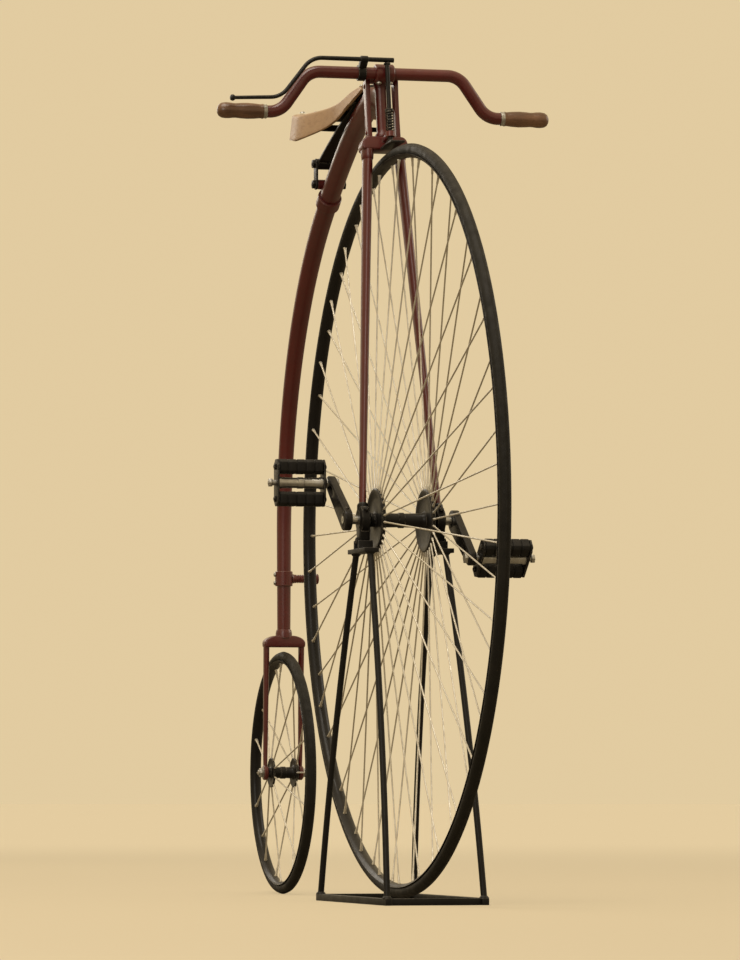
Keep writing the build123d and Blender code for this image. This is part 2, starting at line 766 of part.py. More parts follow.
# Mounting step: a band round the backbone with a peg to the left, for the rider's foot.
step_place, step_way, step_tube = backbone_at("Z", step_height)
step_start = step_tube + step_band_wall / 2
step_end = step_start + step_length
with BuildPart() as step:
    with BuildSketch(Plane(step_place, x_dir=(0, 1, 0), z_dir=step_way).offset(-step_band_height / 2)):
        tube(step_tube + step_band_wall, backbone_facets)
        tube(step_tube + band_play, backbone_facets, mode=Mode.SUBTRACT)
    extrude(amount=step_band_height)
    for start, end, radius in (
        (step_start, step_end, step_radius), (step_end - step_cap_length, step_end, step_cap_radius),
    ):
        with BuildSketch(upright(step_place, y=(start + end) / 2)):
            tube(radius, step_facets)
        extrude(amount=(end - start) / 2, both=True)
step.part.label = "mounting_step"
export_step(step.part, "parts/mounting_step.step")

# Leaf spring: a flat strip, narrow at the neck and wide at the tail, rolled into an eye. It starts on the
# backbone's top, in line with it, and bends less, so that its eye stands clear.
spring_seat, spring_way, spring_tube = backbone_at("X", neck_end.X - spring_setback)
spring_rise = spring_tube + seat_play + spring_thickness / 2
spring_start = spring_seat + Vector(spring_way.Z, 0, -spring_way.X) * spring_rise
spring_heading = degrees(asin(-spring_way.Z))
with BuildPart() as leaf_spring:
    with BuildSketch(Plane.XZ):
        with BuildLine():
            centre = JernArc(
                (spring_start.X, spring_start.Z), (spring_way.X, spring_way.Z), spring_radius, spring_turn
            )
        trace(centre, line_width=spring_thickness)
        with Locations(centre @ 1):
            tube(spring_eye_radius, shaft_facets)
            bore(shackle_bolt_radius)
    extrude(amount=spring_tail_width / 2, both=True)
    with BuildSketch(Plane.XY):
        with BuildLine():
            front, eye = spring_start.X + spring_thickness, (centre @ 1).X
            Polyline(
                (front, spring_front_width / 2), (eye + 2 * spring_eye_radius, spring_tail_width / 2),
                (eye - 2 * spring_eye_radius, spring_tail_width / 2),
                (eye - 2 * spring_eye_radius, -spring_tail_width / 2),
                (eye + 2 * spring_eye_radius, -spring_tail_width / 2), (front, -spring_front_width / 2),
                close=True,
            )
        make_face()
    extrude(amount=spring_start.Z + spring_tail_width, mode=Mode.INTERSECT)
leaf_spring.part.label = "leaf_spring"
export_step(leaf_spring.part, "parts/leaf_spring.step")


def behind(place, height):
    """A point in the middle, by its place behind the spring's front end and its height above it."""
    return spring_start + Vector(-place, 0, height)


def spring_slope(place):
    """The sine of the spring's heading at a place behind its front end."""
    return sin(radians(spring_heading)) + place / spring_radius


def spring_height(place):
    """The height of the spring's middle, from its front end, at a place behind it."""
    return spring_radius * (sqrt(1 - spring_slope(place) ** 2) - cos(radians(spring_heading)))


# Shackle: a band round the backbone, and two plates that hang the spring's eye from it by cross bolts.
eye_place = spring_radius * (sin(radians(spring_heading + spring_turn)) - sin(radians(spring_heading)))
spring_eye = behind(eye_place, spring_height(eye_place))
clip_place, clip_way, clip_tube = backbone_at("X", spring_eye.X)
clip_plane = Plane(clip_place, x_dir=(0, 1, 0), z_dir=clip_way)
clip_radius = clip_tube + band_play + clip_wall
plate_place = spring_tail_width / 2 + seat_play + shackle_plate / 2
lug_radius = shackle_bolt_radius + shackle_lug_wall
lower_bolt = clip_place + Vector(0, 0, clip_radius + shackle_bolt_radius + shackle_lug_gap)
with BuildPart() as spring_clip:
    with BuildSketch(clip_plane.offset(-clip_width / 2)):
        tube(clip_radius, backbone_facets)
    extrude(amount=clip_width)
    with BuildSketch(upright(lower_bolt)):
        tube(lug_radius, barrel_facets)
        Rectangle(2 * shackle_bolt_radius, lug_radius + shackle_lug_gap, align=(Align.CENTER, Align.MAX))
    extrude(amount=spring_tail_width / 2, both=True)
    with BuildSketch(clip_plane.offset(-clip_width)):
        tube(clip_tube + band_play, backbone_facets)
    extrude(amount=2 * clip_width, mode=Mode.SUBTRACT)
    with BuildSketch(upright(lower_bolt)):
        bore(shackle_bolt_radius, mode=Mode.ADD)
    extrude(amount=spring_tail_width, both=True, mode=Mode.SUBTRACT)
spring_clip.part.label = "spring_clip"
export_step(spring_clip.part, "parts/spring_clip.step")

with BuildPart() as shackle:
    for side in (1, -1):
        with BuildSketch(upright(spring_eye, y=side * plate_place)):
            tube(spring_eye_radius, barrel_facets)
            with Locations((0, lower_bolt.Z - spring_eye.Z)):
                tube(spring_eye_radius, barrel_facets)
            make_hull()
        extrude(amount=shackle_plate / 2, both=True)
    for bolt_place in (spring_eye, lower_bolt):
        with BuildSketch(upright(bolt_place)):
            tube(shackle_bolt_radius, spindle_facets)
        extrude(amount=plate_place, both=True)
        for side in (1, -1):
            with BuildSketch(upright(bolt_place, y=side * (plate_place + (shackle_plate + shackle_nut) / 2))):
                RegularPolygon(shackle_nut_radius, 6)
            extrude(amount=shackle_nut / 2, both=True)
shackle.part.label = "spring_shackle"
export_step(shackle.part, "parts/spring_shackle.step")

# Saddle: a shell of thick leather, narrow at the nose, broad and dished at the back. Its outline from above
# and its outline from the side are each drawn twice, for the outside and for the hollow underneath.
with BuildPart() as saddle:
    for wall, mode in ((0.0, Mode.ADD), (leather_thickness, Mode.SUBTRACT)):
        with BuildPart(mode=Mode.PRIVATE) as block:
            with BuildSketch(Plane((spring_start.X, 0, spring_start.Z - saddle_height))):
                with BuildLine():
                    right = [(-place, -half_width) for place, height, half_width, depth in saddle_sections]
                    left = [(-place, half_width) for place, height, half_width, depth in saddle_sections]
                    Polyline(*right, *reversed(left), close=True)
                make_face()
                offset(amount=-wall, kind=Kind.INTERSECTION)
            extrude(amount=2 * saddle_height)
            with BuildSketch(upright(spring_start)):
                with BuildLine():
                    top = [(-place, height - wall) for place, height, half_width, depth in saddle_sections]
                    skirt = [(-place, height - depth) for place, height, half_width, depth in saddle_sections]
                    Polyline(*top, *reversed(skirt), close=True)
                make_face()
            extrude(amount=saddle_sections[-1][2], both=True, mode=Mode.INTERSECT)
        add(block.part, mode=mode)
saddle.part.label = "saddle_leather"
export_step(saddle.part, "parts/saddle_leather.step")

# Saddle frame: two rails from nose to back, a plate under the back and a clamp on the leaf spring.
rail_share = (saddle_clamp_place - rail_front[0]) / (rail_back[0] - rail_front[0])
clamp_half_width = rail_front[1] + rail_share * (rail_back[1] - rail_front[1]) + 2 * rail_radius
clamp_top = rail_front[2] + rail_share * (rail_back[2] - rail_front[2])
clamp_foot = spring_height(saddle_clamp_place) + spring_thickness / 2 + seat_play
clamp_fall = saddle_clamp_length / 2 * spring_slope(saddle_clamp_place)
with BuildPart() as saddle_frame:
    for side in (1, -1):
        rail_start, rail_end = (
            behind(place, height) + Vector(0, side * offset, 0)
            for place, offset, height in (rail_front, rail_back)
        )
        with BuildSketch(Plane(rail_start, z_dir=rail_end - rail_start)):
            RegularPolygon(rail_radius, rod_facets)
        extrude(amount=(rail_end - rail_start).length)
    cantle_width = 2 * (saddle_sections[-1][2] - leather_thickness - seat_play)
    with BuildSketch(across(behind(rail_back[0] + cantle_thickness / 2, rail_back[2]))):
        Rectangle(cantle_width, cantle_depth)
    extrude(amount=cantle_thickness)
    with BuildSketch(upright(behind(saddle_clamp_place, 0))):
        with BuildLine():
            Polyline(
                (-saddle_clamp_length / 2, clamp_foot - clamp_fall),
                (saddle_clamp_length / 2, clamp_foot + clamp_fall),
                (saddle_clamp_length / 2, clamp_top), (-saddle_clamp_length / 2, clamp_top), close=True,
            )
        make_face()
    extrude(amount=clamp_half_width, both=True)
saddle_frame.part.label = "saddle_frame"
export_step(saddle_frame.part, "parts/saddle_frame.step")

# Display stand. Each side has a cradle under a fork end, two bowed legs and a rail on the floor.
cradle_top = front_axle.Z - bearing_foot_reach - seat_play
cradle_bottom = cradle_top - cradle_thickness
lip_place = bearing_foot_width / 2 + seat_play
with BuildPart() as cradles:
    for name, side in sides:
        with BuildSketch(upright(Vector(front_axle.X, 0, cradle_top), y=side * bearing_place)):
            Rectangle(cradle_length, cradle_thickness, align=(Align.CENTER, Align.MAX))
            with Locations((lip_place, 0)):
                Rectangle(cradle_lip, cradle_lip_rise, align=(Align.MIN, Align.MIN))
            with Locations((-lip_place, 0)):
                Rectangle(cradle_lip, cradle_lip_rise, align=(Align.MAX, Align.MIN))
    extrude(amount=cradle_width / 2, both=True)
cradles.part.label = "stand_cradles"
export_step(cradles.part, "parts/stand_cradles.step")

with BuildPart() as legs:
    for name, side in sides:
        for end in (1, -1):
            leg_top = Vector(
                front_axle.X + end * (cradle_length / 2 - leg_top_inset), side * bearing_place, cradle_bottom
            )
            leg_foot = Vector(front_axle.X + end * foot_reach, side * foot_place, stand_rod)
            leg_middle = (leg_top + leg_foot) * 0.5 + Vector(end * leg_bow, 0, 0)
            bow = ThreePointArc(leg_top, leg_middle, leg_foot, mode=Mode.PRIVATE)
            with BuildLine():
                leg_line = Polyline(*(bow @ (k / leg_chords) for k in range(leg_chords + 1)))
            with BuildSketch(Plane(leg_line @ 0, x_dir=(0, 1, 0), z_dir=leg_line % 0)):
                tube(leg_radius, leg_facets)
            sweep(path=leg_line, transition=Transition.RIGHT)
            for stub_end, way in ((leg_line @ 0, (leg_line % 0) * -1), (leg_line @ 1, leg_line % 1)):
                with BuildSketch(Plane(stub_end, x_dir=(0, 1, 0), z_dir=way)):
                    tube(leg_radius, leg_facets)
                extrude(amount=stand_rod / 2)
    split(bisect_by=Plane.XY.offset(cradle_bottom), keep=Keep.BOTTOM)
    split(bisect_by=Plane.XY.offset(stand_rod), keep=Keep.TOP)
legs.part.label = "stand_legs"
export_step(legs.part, "parts/stand_legs.step")

with BuildPart() as rails:
    for name, side in sides:
        with BuildSketch(across(Vector(front_axle.X, side * foot_place, stand_rod / 2))):
            Rectangle(stand_rod, stand_rod)
    extrude(amount=foot_reach + stand_rod, both=True)
rails.part.label = "stand_rails"
export_step(rails.part, "parts/stand_rails.step")

with BuildPart() as ties:
    for end in (1, -1):
        with BuildSketch(upright(Vector(front_axle.X + end * foot_reach, 0, stand_rod / 2))):
            Rectangle(stand_rod, stand_rod)
    extrude(amount=foot_place - stand_rod / 2, both=True)
ties.part.label = "stand_ties"
export_step(ties.part, "parts/stand_ties.step")
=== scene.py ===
from math import acos, cos, pi, radians, sin, tan, tau

import bmesh
import bpy
from mathutils import Matrix, Vector


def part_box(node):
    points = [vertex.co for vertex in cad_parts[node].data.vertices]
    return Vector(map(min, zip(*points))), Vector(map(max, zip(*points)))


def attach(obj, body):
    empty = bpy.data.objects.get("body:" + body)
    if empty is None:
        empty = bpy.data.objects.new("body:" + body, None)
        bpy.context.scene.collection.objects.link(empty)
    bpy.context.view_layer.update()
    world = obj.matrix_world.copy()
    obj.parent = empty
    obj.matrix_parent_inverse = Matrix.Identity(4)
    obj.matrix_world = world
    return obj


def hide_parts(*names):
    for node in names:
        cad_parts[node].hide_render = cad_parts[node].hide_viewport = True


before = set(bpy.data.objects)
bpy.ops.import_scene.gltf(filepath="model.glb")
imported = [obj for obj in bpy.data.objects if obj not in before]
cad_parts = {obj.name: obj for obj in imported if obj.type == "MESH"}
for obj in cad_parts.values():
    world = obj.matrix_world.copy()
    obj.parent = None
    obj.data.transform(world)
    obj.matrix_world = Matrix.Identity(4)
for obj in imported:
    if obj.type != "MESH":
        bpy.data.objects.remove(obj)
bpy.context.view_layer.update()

# The floor the stand stands on, and the light of the room. The floor is a plain pale disc, and the same
# pale cream is all that the camera and the bright metal see beyond it. Away from the lamps the floor glows
# a little more for the camera, so that it meets the backdrop softly.
cream = (0.76, 0.60, 0.355)
floor_radius = 60.0
glow_range = {"From Min": 1.5, "From Max": 11.0, "To Min": 0.55, "To Max": 0.79}
scene = bpy.context.scene
bm = bmesh.new()
bmesh.ops.create_circle(bm, cap_ends=True, segments=96, radius=floor_radius)
mesh = bpy.data.meshes.new("floor")
bm.to_mesh(mesh)
bm.free()
floor = bpy.data.objects.new("floor", mesh)
scene.collection.objects.link(floor)


def new_material(name):
    """An empty material, its node tree and its shader."""
    material = bpy.data.materials.new(name)
    material.use_nodes = True
    return material, material.node_tree, material.node_tree.nodes["Principled BSDF"]


def wired(tree, node, inputs):
    """Gives a node's inputs, by name or number, a plain value or a link."""
    for label, value in dict(inputs).items():
        if isinstance(value, bpy.types.NodeSocket):
            tree.links.new(value, node.inputs[label])
        else:
            node.inputs[label].default_value = value
    return node


def new_node(tree, kind, inputs=(), **settings):
    """A shader node with its settings and its inputs."""
    node = tree.nodes.new("ShaderNode" + kind)
    for label, value in settings.items():
        setattr(node, label, value)
    return wired(tree, node, inputs)


def sums(tree, operation, first, second, clamp=False):
    """A sum on sockets or plain numbers."""
    return new_node(tree, "Math", {0: first, 1: second}, operation=operation, use_clamp=clamp).outputs[0]


def tinted(tree, mask, first, second):
    """A colour that goes from the first to the second with a mask. Each is a colour or a socket."""
    first, second = ((*value, 1.0) if isinstance(value, tuple) else value for value in (first, second))
    mix = new_node(tree, "Mix", {"Factor": mask, "A": first, "B": second}, data_type="RGBA")
    return mix.outputs["Result"]


paint, tree, shader = new_material("floor_paint")
uneven = new_node(tree, "TexNoise", {"Scale": 3.0}).outputs["Fac"]
place = new_node(tree, "TexCoord").outputs["Object"]
from_middle = new_node(tree, "VectorMath", {0: place}, operation="LENGTH").outputs["Value"]
glow = new_node(tree, "MapRange", {"Value": from_middle, **glow_range}, interpolation_type="SMOOTHSTEP")
sight = new_node(tree, "LightPath")
seen_glow = sums(tree, "MULTIPLY", sight.outputs["Is Camera Ray"], glow.outputs["Result"])
wired(tree, shader, {
    "Base Color": tinted(tree, uneven, (0.27, 0.212, 0.125), (0.30, 0.235, 0.14)),
    "Roughness": 0.9, "Specular IOR Level": 0.1,
    "Emission Color": tinted(tree, seen_glow, (0.0, 0.0, 0.0), cream), "Emission Strength": 1.0})
mesh.materials.append(paint)

world = bpy.data.worlds.new("room")
scene.world = world
world.use_nodes = True
tree = world.node_tree
seen = wired(tree, tree.nodes["Background"], {"Color": (*cream, 1.0), "Strength": 1.0})
fill = new_node(tree, "Background", {"Color": (1.0, 0.95, 0.86, 1.0), "Strength": 0.5})
sight = new_node(tree, "LightPath")
seen_or_mirrored = sums(tree, "MAXIMUM", sight.outputs["Is Camera Ray"], sight.outputs["Is Glossy Ray"])
seen_at_all = sums(tree, "MAXIMUM", seen_or_mirrored, sight.outputs["Is Transmission Ray"])
choice = new_node(tree, "MixShader", {0: seen_at_all, 1: fill.outputs[0], 2: seen.outputs[0]})
wired(tree, tree.nodes["World Output"], {"Surface": choice.outputs[0]})

lamps = (  # name, place, power, width, colour
    ("lamp_above", (0.8, -1.0, 4.4), 90.0, 2.4, (1.0, 0.93, 0.82)),
    ("lamp_front", (4.6, -3.0, 2.6), 60.0, 2.4, (1.0, 0.96, 0.90)),
    ("lamp_left", (-0.6, 4.4, 2.8), 40.0, 2.2, (1.0, 0.95, 0.88)),
    ("lamp_back", (-4.4, -1.4, 2.8), 40.0, 2.2, (1.0, 0.95, 0.88)),
)
lamp_aim = Vector((0.0, 0.0, 0.8))
for name, place, power, width, colour in lamps:
    light = bpy.data.lights.new(name, "AREA")
    light.energy, light.size, light.color = power, width, colour
    lamp = bpy.data.objects.new(name, light)
    lamp.location = place
    lamp.rotation_euler = (lamp_aim - Vector(place)).to_track_quat("-Z", "Y").to_euler()
    scene.collection.objects.link(lamp)

# The camera is nearly at floor level, in front of the bicycle and a little to its right, so that the tall
# wheel is a narrow oval.
camera_turn, camera_distance, camera_height = radians(75), 10.0, 0.2
camera_aim = Vector((0.0, 0.0, 0.75))
camera = bpy.data.objects.new("camera", bpy.data.cameras.new("camera"))
camera.data.sensor_fit = "VERTICAL"
camera.data.sensor_height = 36.0
camera.data.lens = 210.0
camera.data.clip_end = 200.0
camera.location = (sin(camera_turn) * camera_distance, -cos(camera_turn) * camera_distance, camera_height)
camera.rotation_euler = (camera_aim - camera.location).to_track_quat("-Z", "Y").to_euler()
scene.collection.objects.link(camera)
scene.camera = camera
scene.view_settings.view_transform = "Standard"

# Tyres: solid rings of black rubber, round in section, with a thin moulding seam round the middle. Each is
# cemented into the groove of its rim, and has greyed with age and dust.
crosswise, upwards = Vector((0, 1, 0)), Vector((0, 0, 1))
front_axle = sum(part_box("front_axle"), Vector()) / 2
rear_axle = sum(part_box("rear_axle"), Vector()) / 2
wheels = []  # name, middle, outer radius, radius of the tyre's section
for name, axle in (("front", front_axle), ("rear", rear_axle)):
    low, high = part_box(f"{name}_tyre")
    wheels.append((name, axle, (high.z - low.z) / 2, high.y))
wheel_steps, tyre_steps, seam_step, seam_height = 240, 32, 8, 0.0006
dust_colour = (0.22, 0.18, 0.125)


def facing(place, way, side=Vector((1, 0, 0))):
    """The matrix that stands z along a way at a place, with x as near as can be to a side."""
    z = way.normalized()
    x = (side - z * side.dot(z)).normalized()
    return Matrix.Translation(place) @ Matrix((x, z.cross(x), z)).transposed().to_4x4()


def lathe(profile, steps=48, ring=False):
    """A shape turned about z from its half section of (distance along z, radius). A ring's is closed."""
    bm = bmesh.new()
    verts = [bm.verts.new((radius, 0, distance)) for distance, radius in profile]
    edges = [bm.edges.new(pair) for pair in zip(verts, verts[1:])]
    if ring:
        edges.append(bm.edges.new((verts[-1], verts[0])))
    bmesh.ops.spin(
        bm, geom=verts + edges, cent=(0, 0, 0), axis=upwards, angle=tau, steps=steps, use_merge=True)
    return bm


def put(bm, part, matrix=Matrix()):
    """Puts a part made by itself into the mesh of its piece, at its place."""
    bmesh.ops.remove_doubles(part, verts=part.verts, dist=2e-6)
    bmesh.ops.dissolve_degenerate(part, edges=part.edges, dist=1e-6)
    bmesh.ops.recalc_face_normals(part, faces=part.faces)
    bmesh.ops.transform(part, matrix=matrix, verts=part.verts)
    mesh = bpy.data.meshes.new("part")
    part.to_mesh(mesh)
    part.free()
    bm.from_mesh(mesh)
    bpy.data.meshes.remove(mesh)


def finished(bm, name, body, finish, *replaced, sharp=38):
    """Makes the piece of a mesh, with its body, its finish (slot, material; the slot is not used) and the
    nodes it replaces.
    """
    slot, material = finish
    mesh = bpy.data.meshes.new(name)
    bm.to_mesh(mesh)
    bm.free()
    mesh.shade_smooth()
    mesh.set_sharp_from_angle(angle=radians(sharp))
    mesh.materials.append(material)
    piece = bpy.data.objects.new(name, mesh)
    scene.collection.objects.link(piece)
    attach(piece, body)
    if replaced:
        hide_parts(*replaced)


def new_group(name, **inputs):
    """A node group with number inputs that puts out a mask."""
    group = bpy.data.node_groups.new(name, "ShaderNodeTree")
    for label, value in inputs.items():
        group.interface.new_socket(label, in_out="INPUT", socket_type="NodeSocketFloat").default_value = value
    group.interface.new_socket("Mask", in_out="OUTPUT", socket_type="NodeSocketFloat")
    return group, group.nodes.new("NodeGroupInput"), group.nodes.new("NodeGroupOutput")


def placed(tree, group, **values):
    """The mask of a group put in a material, with the values of its inputs."""
    return new_node(tree, "Group", values, node_tree=group).outputs[0]


def noise(tree, scale, detail, stretch=(1, 1, 1)):
    """Noise on the piece's own coordinates, with its scale a number or a socket, drawn out by a stretch."""
    place = new_node(tree, "TexCoord").outputs["Object"]
    mapped = new_node(tree, "Mapping", {"Vector": place, "Scale": stretch}).outputs["Vector"]
    return new_node(tree, "TexNoise", {"Vector": mapped, "Scale": scale, "Detail": detail}).outputs["Fac"]


def between(tree, mask, low, high):
    """A number that goes from low to high with a mask."""
    return new_node(tree, "MapRange", {"Value": mask, "To Min": low, "To Max": high}).outputs["Result"]


def raised(tree, height, distance, strength=0.5):
    """The surface's normal as a height raises it."""
    inputs = {"Height": height, "Distance": distance, "Strength": strength}
    return new_node(tree, "Bump", inputs).outputs["Normal"]


# How unevenly a finish has faded, sweated or gathered dirt: blotches in two sizes.
blotches, given, put_out = new_group("blotches", Scale=20.0, Contrast=2.0)
coarse = noise(blotches, given.outputs["Scale"], 3.0)
fine = noise(blotches, sums(blotches, "MULTIPLY", given.outputs["Scale"], 7.0), 4.0)
both = sums(blotches, "ADD", sums(blotches, "MULTIPLY", coarse, 0.65), sums(blotches, "MULTIPLY", fine, 0.35))
spread = sums(blotches, "MULTIPLY", sums(blotches, "SUBTRACT", both, 0.5), given.outputs["Contrast"])
wired(blotches, put_out, {"Mask": sums(blotches, "ADD", spread, 0.5, clamp=True)})

# Dust, which lies on what faces upwards, more in some places than in others.
dust, given, put_out = new_group("dust", Amount=0.3)
split = new_node(dust, "SeparateXYZ", {0: new_node(dust, "TexCoord").outputs["Normal"]})
facing_up = sums(dust, "POWER", sums(dust, "MAXIMUM", split.outputs["Z"], 0.0), 1.5)
lying = sums(dust, "MULTIPLY", facing_up, sums(dust, "ADD", noise(dust, 45.0, 5.0), 0.15))
wired(dust, put_out, {"Mask": sums(dust, "MULTIPLY", lying, given.outputs["Amount"], clamp=True)})


def dusty(tree, colour, amount):
    """A colour with dust on it."""
    return tinted(tree, placed(tree, dust, Amount=amount), colour, dust_colour)


def rubber(name, dark, pale, dust_amount):
    """Old rubber: nearly black and matt, greyed in blotches, dusty and slightly crazed."""
    material, tree, shader = new_material(name)
    faded = tinted(tree, placed(tree, blotches, Scale=28.0, Contrast=2.2), dark, pale)
    wired(tree, shader, {
        "Base Color": dusty(tree, faded, dust_amount),
        "Roughness": between(tree, placed(tree, blotches, Scale=60.0, Contrast=2.5), 0.5, 0.82),
        "Specular IOR Level": 0.2,
        "Normal": raised(tree, noise(tree, 900.0, 6.0), 0.0006)})
    return name, material


tyre_rubber = rubber(
    "tyre_rubber", dark=(0.0055, 0.0048, 0.0032), pale=(0.015, 0.0125, 0.008), dust_amount=0.16)
for name, axle, radius, tyre_radius in wheels:
    profile = []
    for k in range(tyre_steps):
        reach = tyre_radius if k == seam_step else tyre_radius - seam_height
        angle = tau * k / tyre_steps
        profile.append((reach * cos(angle), radius - tyre_radius + reach * sin(angle)))
    bm = bmesh.new()
    put(bm, lathe(profile, wheel_steps, ring=True), facing(axle, crosswise))
    finished(bm, f"{name}_tyre_ring", f"{name}_wheel", tyre_rubber, f"{name}_tyre")

# Rims: rolled steel troughs, crescent in section with turned lips, stoved black. The tyre lies in the open
# side, and the closed side is drilled for the spokes' nipples.
rim_wall, tyre_play = 0.0015, 0.0002
back_arc, groove_arc = (radians(-28), radians(-124)), (radians(-141), radians(102))  # start and sweep


def arc(radius, start, sweep, steps, middle=(0, 0)):
    """Points along an arc in a drawing, from an angle through a sweep, round a middle."""
    angles = [start + sweep * k / steps for k in range(steps + 1)]
    return [(middle[0] + radius * cos(angle), middle[1] + radius * sin(angle)) for angle in angles]


def excess(tree, first, second, gain):
    """How far the first is over the second, times a gain, held between 0 and 1."""
    return sums(tree, "MULTIPLY", sums(tree, "SUBTRACT", first, second), gain, clamp=True)


# Wear, which rubs off a finish along its edges, where the surface turns within the reach.
edge_wear, given, put_out = new_group("edge_wear", Reach=0.001, Scale=120.0, Amount=1.0)
flat = new_node(edge_wear, "NewGeometry").outputs["Normal"]
rounding = new_node(edge_wear, "Bevel", {"Radius": given.outputs["Reach"]}, samples=4).outputs["Normal"]
likeness = new_node(edge_wear, "VectorMath", {0: flat, 1: rounding}, operation="DOT_PRODUCT")
edge = excess(edge_wear, 1.0, likeness.outputs["Value"], 13.0)
rubbed = excess(edge_wear, noise(edge_wear, given.outputs["Scale"], 4.0), 0.42, 5.0)
wear = sums(edge_wear, "MULTIPLY", edge, rubbed)
wired(edge_wear, put_out, {"Mask": sums(edge_wear, "MULTIPLY", wear, given.outputs["Amount"], clamp=True)})


def enamel(name, deep, light, bare, gloss, coat_weight, shine=0.5, dust_amount=0.14, chips=0.8):
    """Stoved enamel: uneven in depth, rubbed to bare metal on its edges, dusty, and scratched finely."""
    material, tree, shader = new_material(name)
    coat = tinted(tree, placed(tree, blotches, Scale=9.0, Contrast=1.8), deep, light)
    wear = placed(tree, edge_wear, Reach=0.0012, Scale=140.0, Amount=chips)
    smears = placed(tree, blotches, Scale=35.0, Contrast=2.4)
    wired(tree, shader, {
        "Base Color": dusty(tree, tinted(tree, wear, coat, bare), dust_amount),
        "Metallic": between(tree, wear, 0.0, 0.8),
        "Roughness": between(tree, smears, gloss, gloss + 0.22),
        "Specular IOR Level": shine, "Coat Weight": coat_weight, "Coat Roughness": 0.12,
        "Normal": raised(tree, noise(tree, 160.0, 5.0), 0.0005, 0.35)})
    return name, material


black_enamel = enamel(
    "black_enamel", deep=(0.005, 0.0045, 0.004), light=(0.012, 0.010, 0.008), bare=(0.32, 0.28, 0.22),
    gloss=0.34, coat_weight=0.12, shine=0.15)
for name, axle, radius, tyre_radius in wheels:
    tyre_centre, groove_radius = radius - tyre_radius, tyre_radius + tyre_play
    back = arc(groove_radius + rim_wall, *back_arc, 20, (0, tyre_centre - rim_wall))
    groove = arc(groove_radius, *groove_arc, 20, (0, tyre_centre))
    bm = bmesh.new()
    put(bm, lathe(back + groove, wheel_steps, ring=True), facing(axle, crosswise))
    finished(bm, f"{name}_rim_ring", f"{name}_wheel", black_enamel, f"{name}_rim", sharp=50)

# Hubs: turned steel, black like the rims. A slim barrel joins two dished flanges, thick at their edges,
# where the spokes are screwed in, and a shoulder runs out to each bearing. An oil band closes the middle.
hubs = (  # flange's place, radius and thickness, barrel radius, shoulder's radius and end, bore radius
    (0.045, 0.056, 0.008, 0.013, 0.012, 0.056, 0.00815),  # front
    (0.022, 0.028, 0.004, 0.011, 0.010, 0.028, 0.00515),  # rear
)


def doubled(half):
    """Half a profile or outline, and after it its mirror image, in which x changes its sign."""
    return half + [(-x, y) for x, y in reversed(half)]


for (name, axle, radius, tyre_radius), hub in zip(wheels, hubs):
    flange, edge, flange_depth, barrel, shoulder, hub_end, bore = hub
    half = flange_depth / 2
    round_flange = [  # distance from its middle in half thicknesses, and radius
        (-0.8, shoulder * 1.12), (-0.55, shoulder * 1.4), (-0.5, edge * 0.78), (-1, edge * 0.86),
        (-1, edge * 0.96), (-0.6, edge * 0.995), (0, edge), (0.6, edge * 0.995), (1, edge * 0.96),
        (1, edge * 0.86), (0.5, edge * 0.78), (0.6, barrel * 1.3), (1.4, barrel * 1.1), (2.4, barrel)]
    right_end = [
        (-hub_end, bore), (-hub_end, shoulder * 0.93), (-hub_end + 0.0006, shoulder),
        (-flange - half - 0.0012, shoulder)]
    oil_band = [(-0.0055, barrel * 0.94), (-0.005, barrel), (-0.0045, barrel * 1.05)]
    right_half = right_end + [(-flange + half * share, reach) for share, reach in round_flange] + oil_band
    bm = bmesh.new()
    put(bm, lathe(doubled(right_half), 72, ring=True), facing(axle, crosswise))
    finished(bm, f"{name}_hub_turned", f"{name}_wheel", black_enamel, f"{name}_hub_spokes", sharp=30)

# Spokes: drawn steel wires with old nickel plating. Each has a thick threaded root in the edge of its
# flange and a small nipple that pulls it to the rim.
spoke_counts = (30, 10)  # on a side of the front and the rear wheel
spoke_radius, spoke_seat, root_length = 0.0015, 0.88, 0.0065
spoke_spread, rim_depth = 0.003, 0.0003


def plated(name, bright, dull, rough):
    """Old nickel plate on steel: warm grey, brushed round, with dull brown spots and dust."""
    material, tree, shader = new_material(name)
    spots = placed(tree, blotches, Scale=70.0, Contrast=3.2)
    colour = tinted(tree, sums(tree, "MULTIPLY", spots, 0.5), bright, dull)
    wired(tree, shader, {
        "Base Color": dusty(tree, colour, 0.3), "Metallic": 1.0,
        "Roughness": between(tree, spots, rough, rough + 0.25),
        "Normal": raised(tree, noise(tree, 420.0, 3.0, (1, 0.15, 1)), 0.0004, 0.25)})
    return "bright_steel", material


def upturned(angle):
    """The way forward, turned up by an angle."""
    return Vector((cos(angle), 0, sin(angle)))


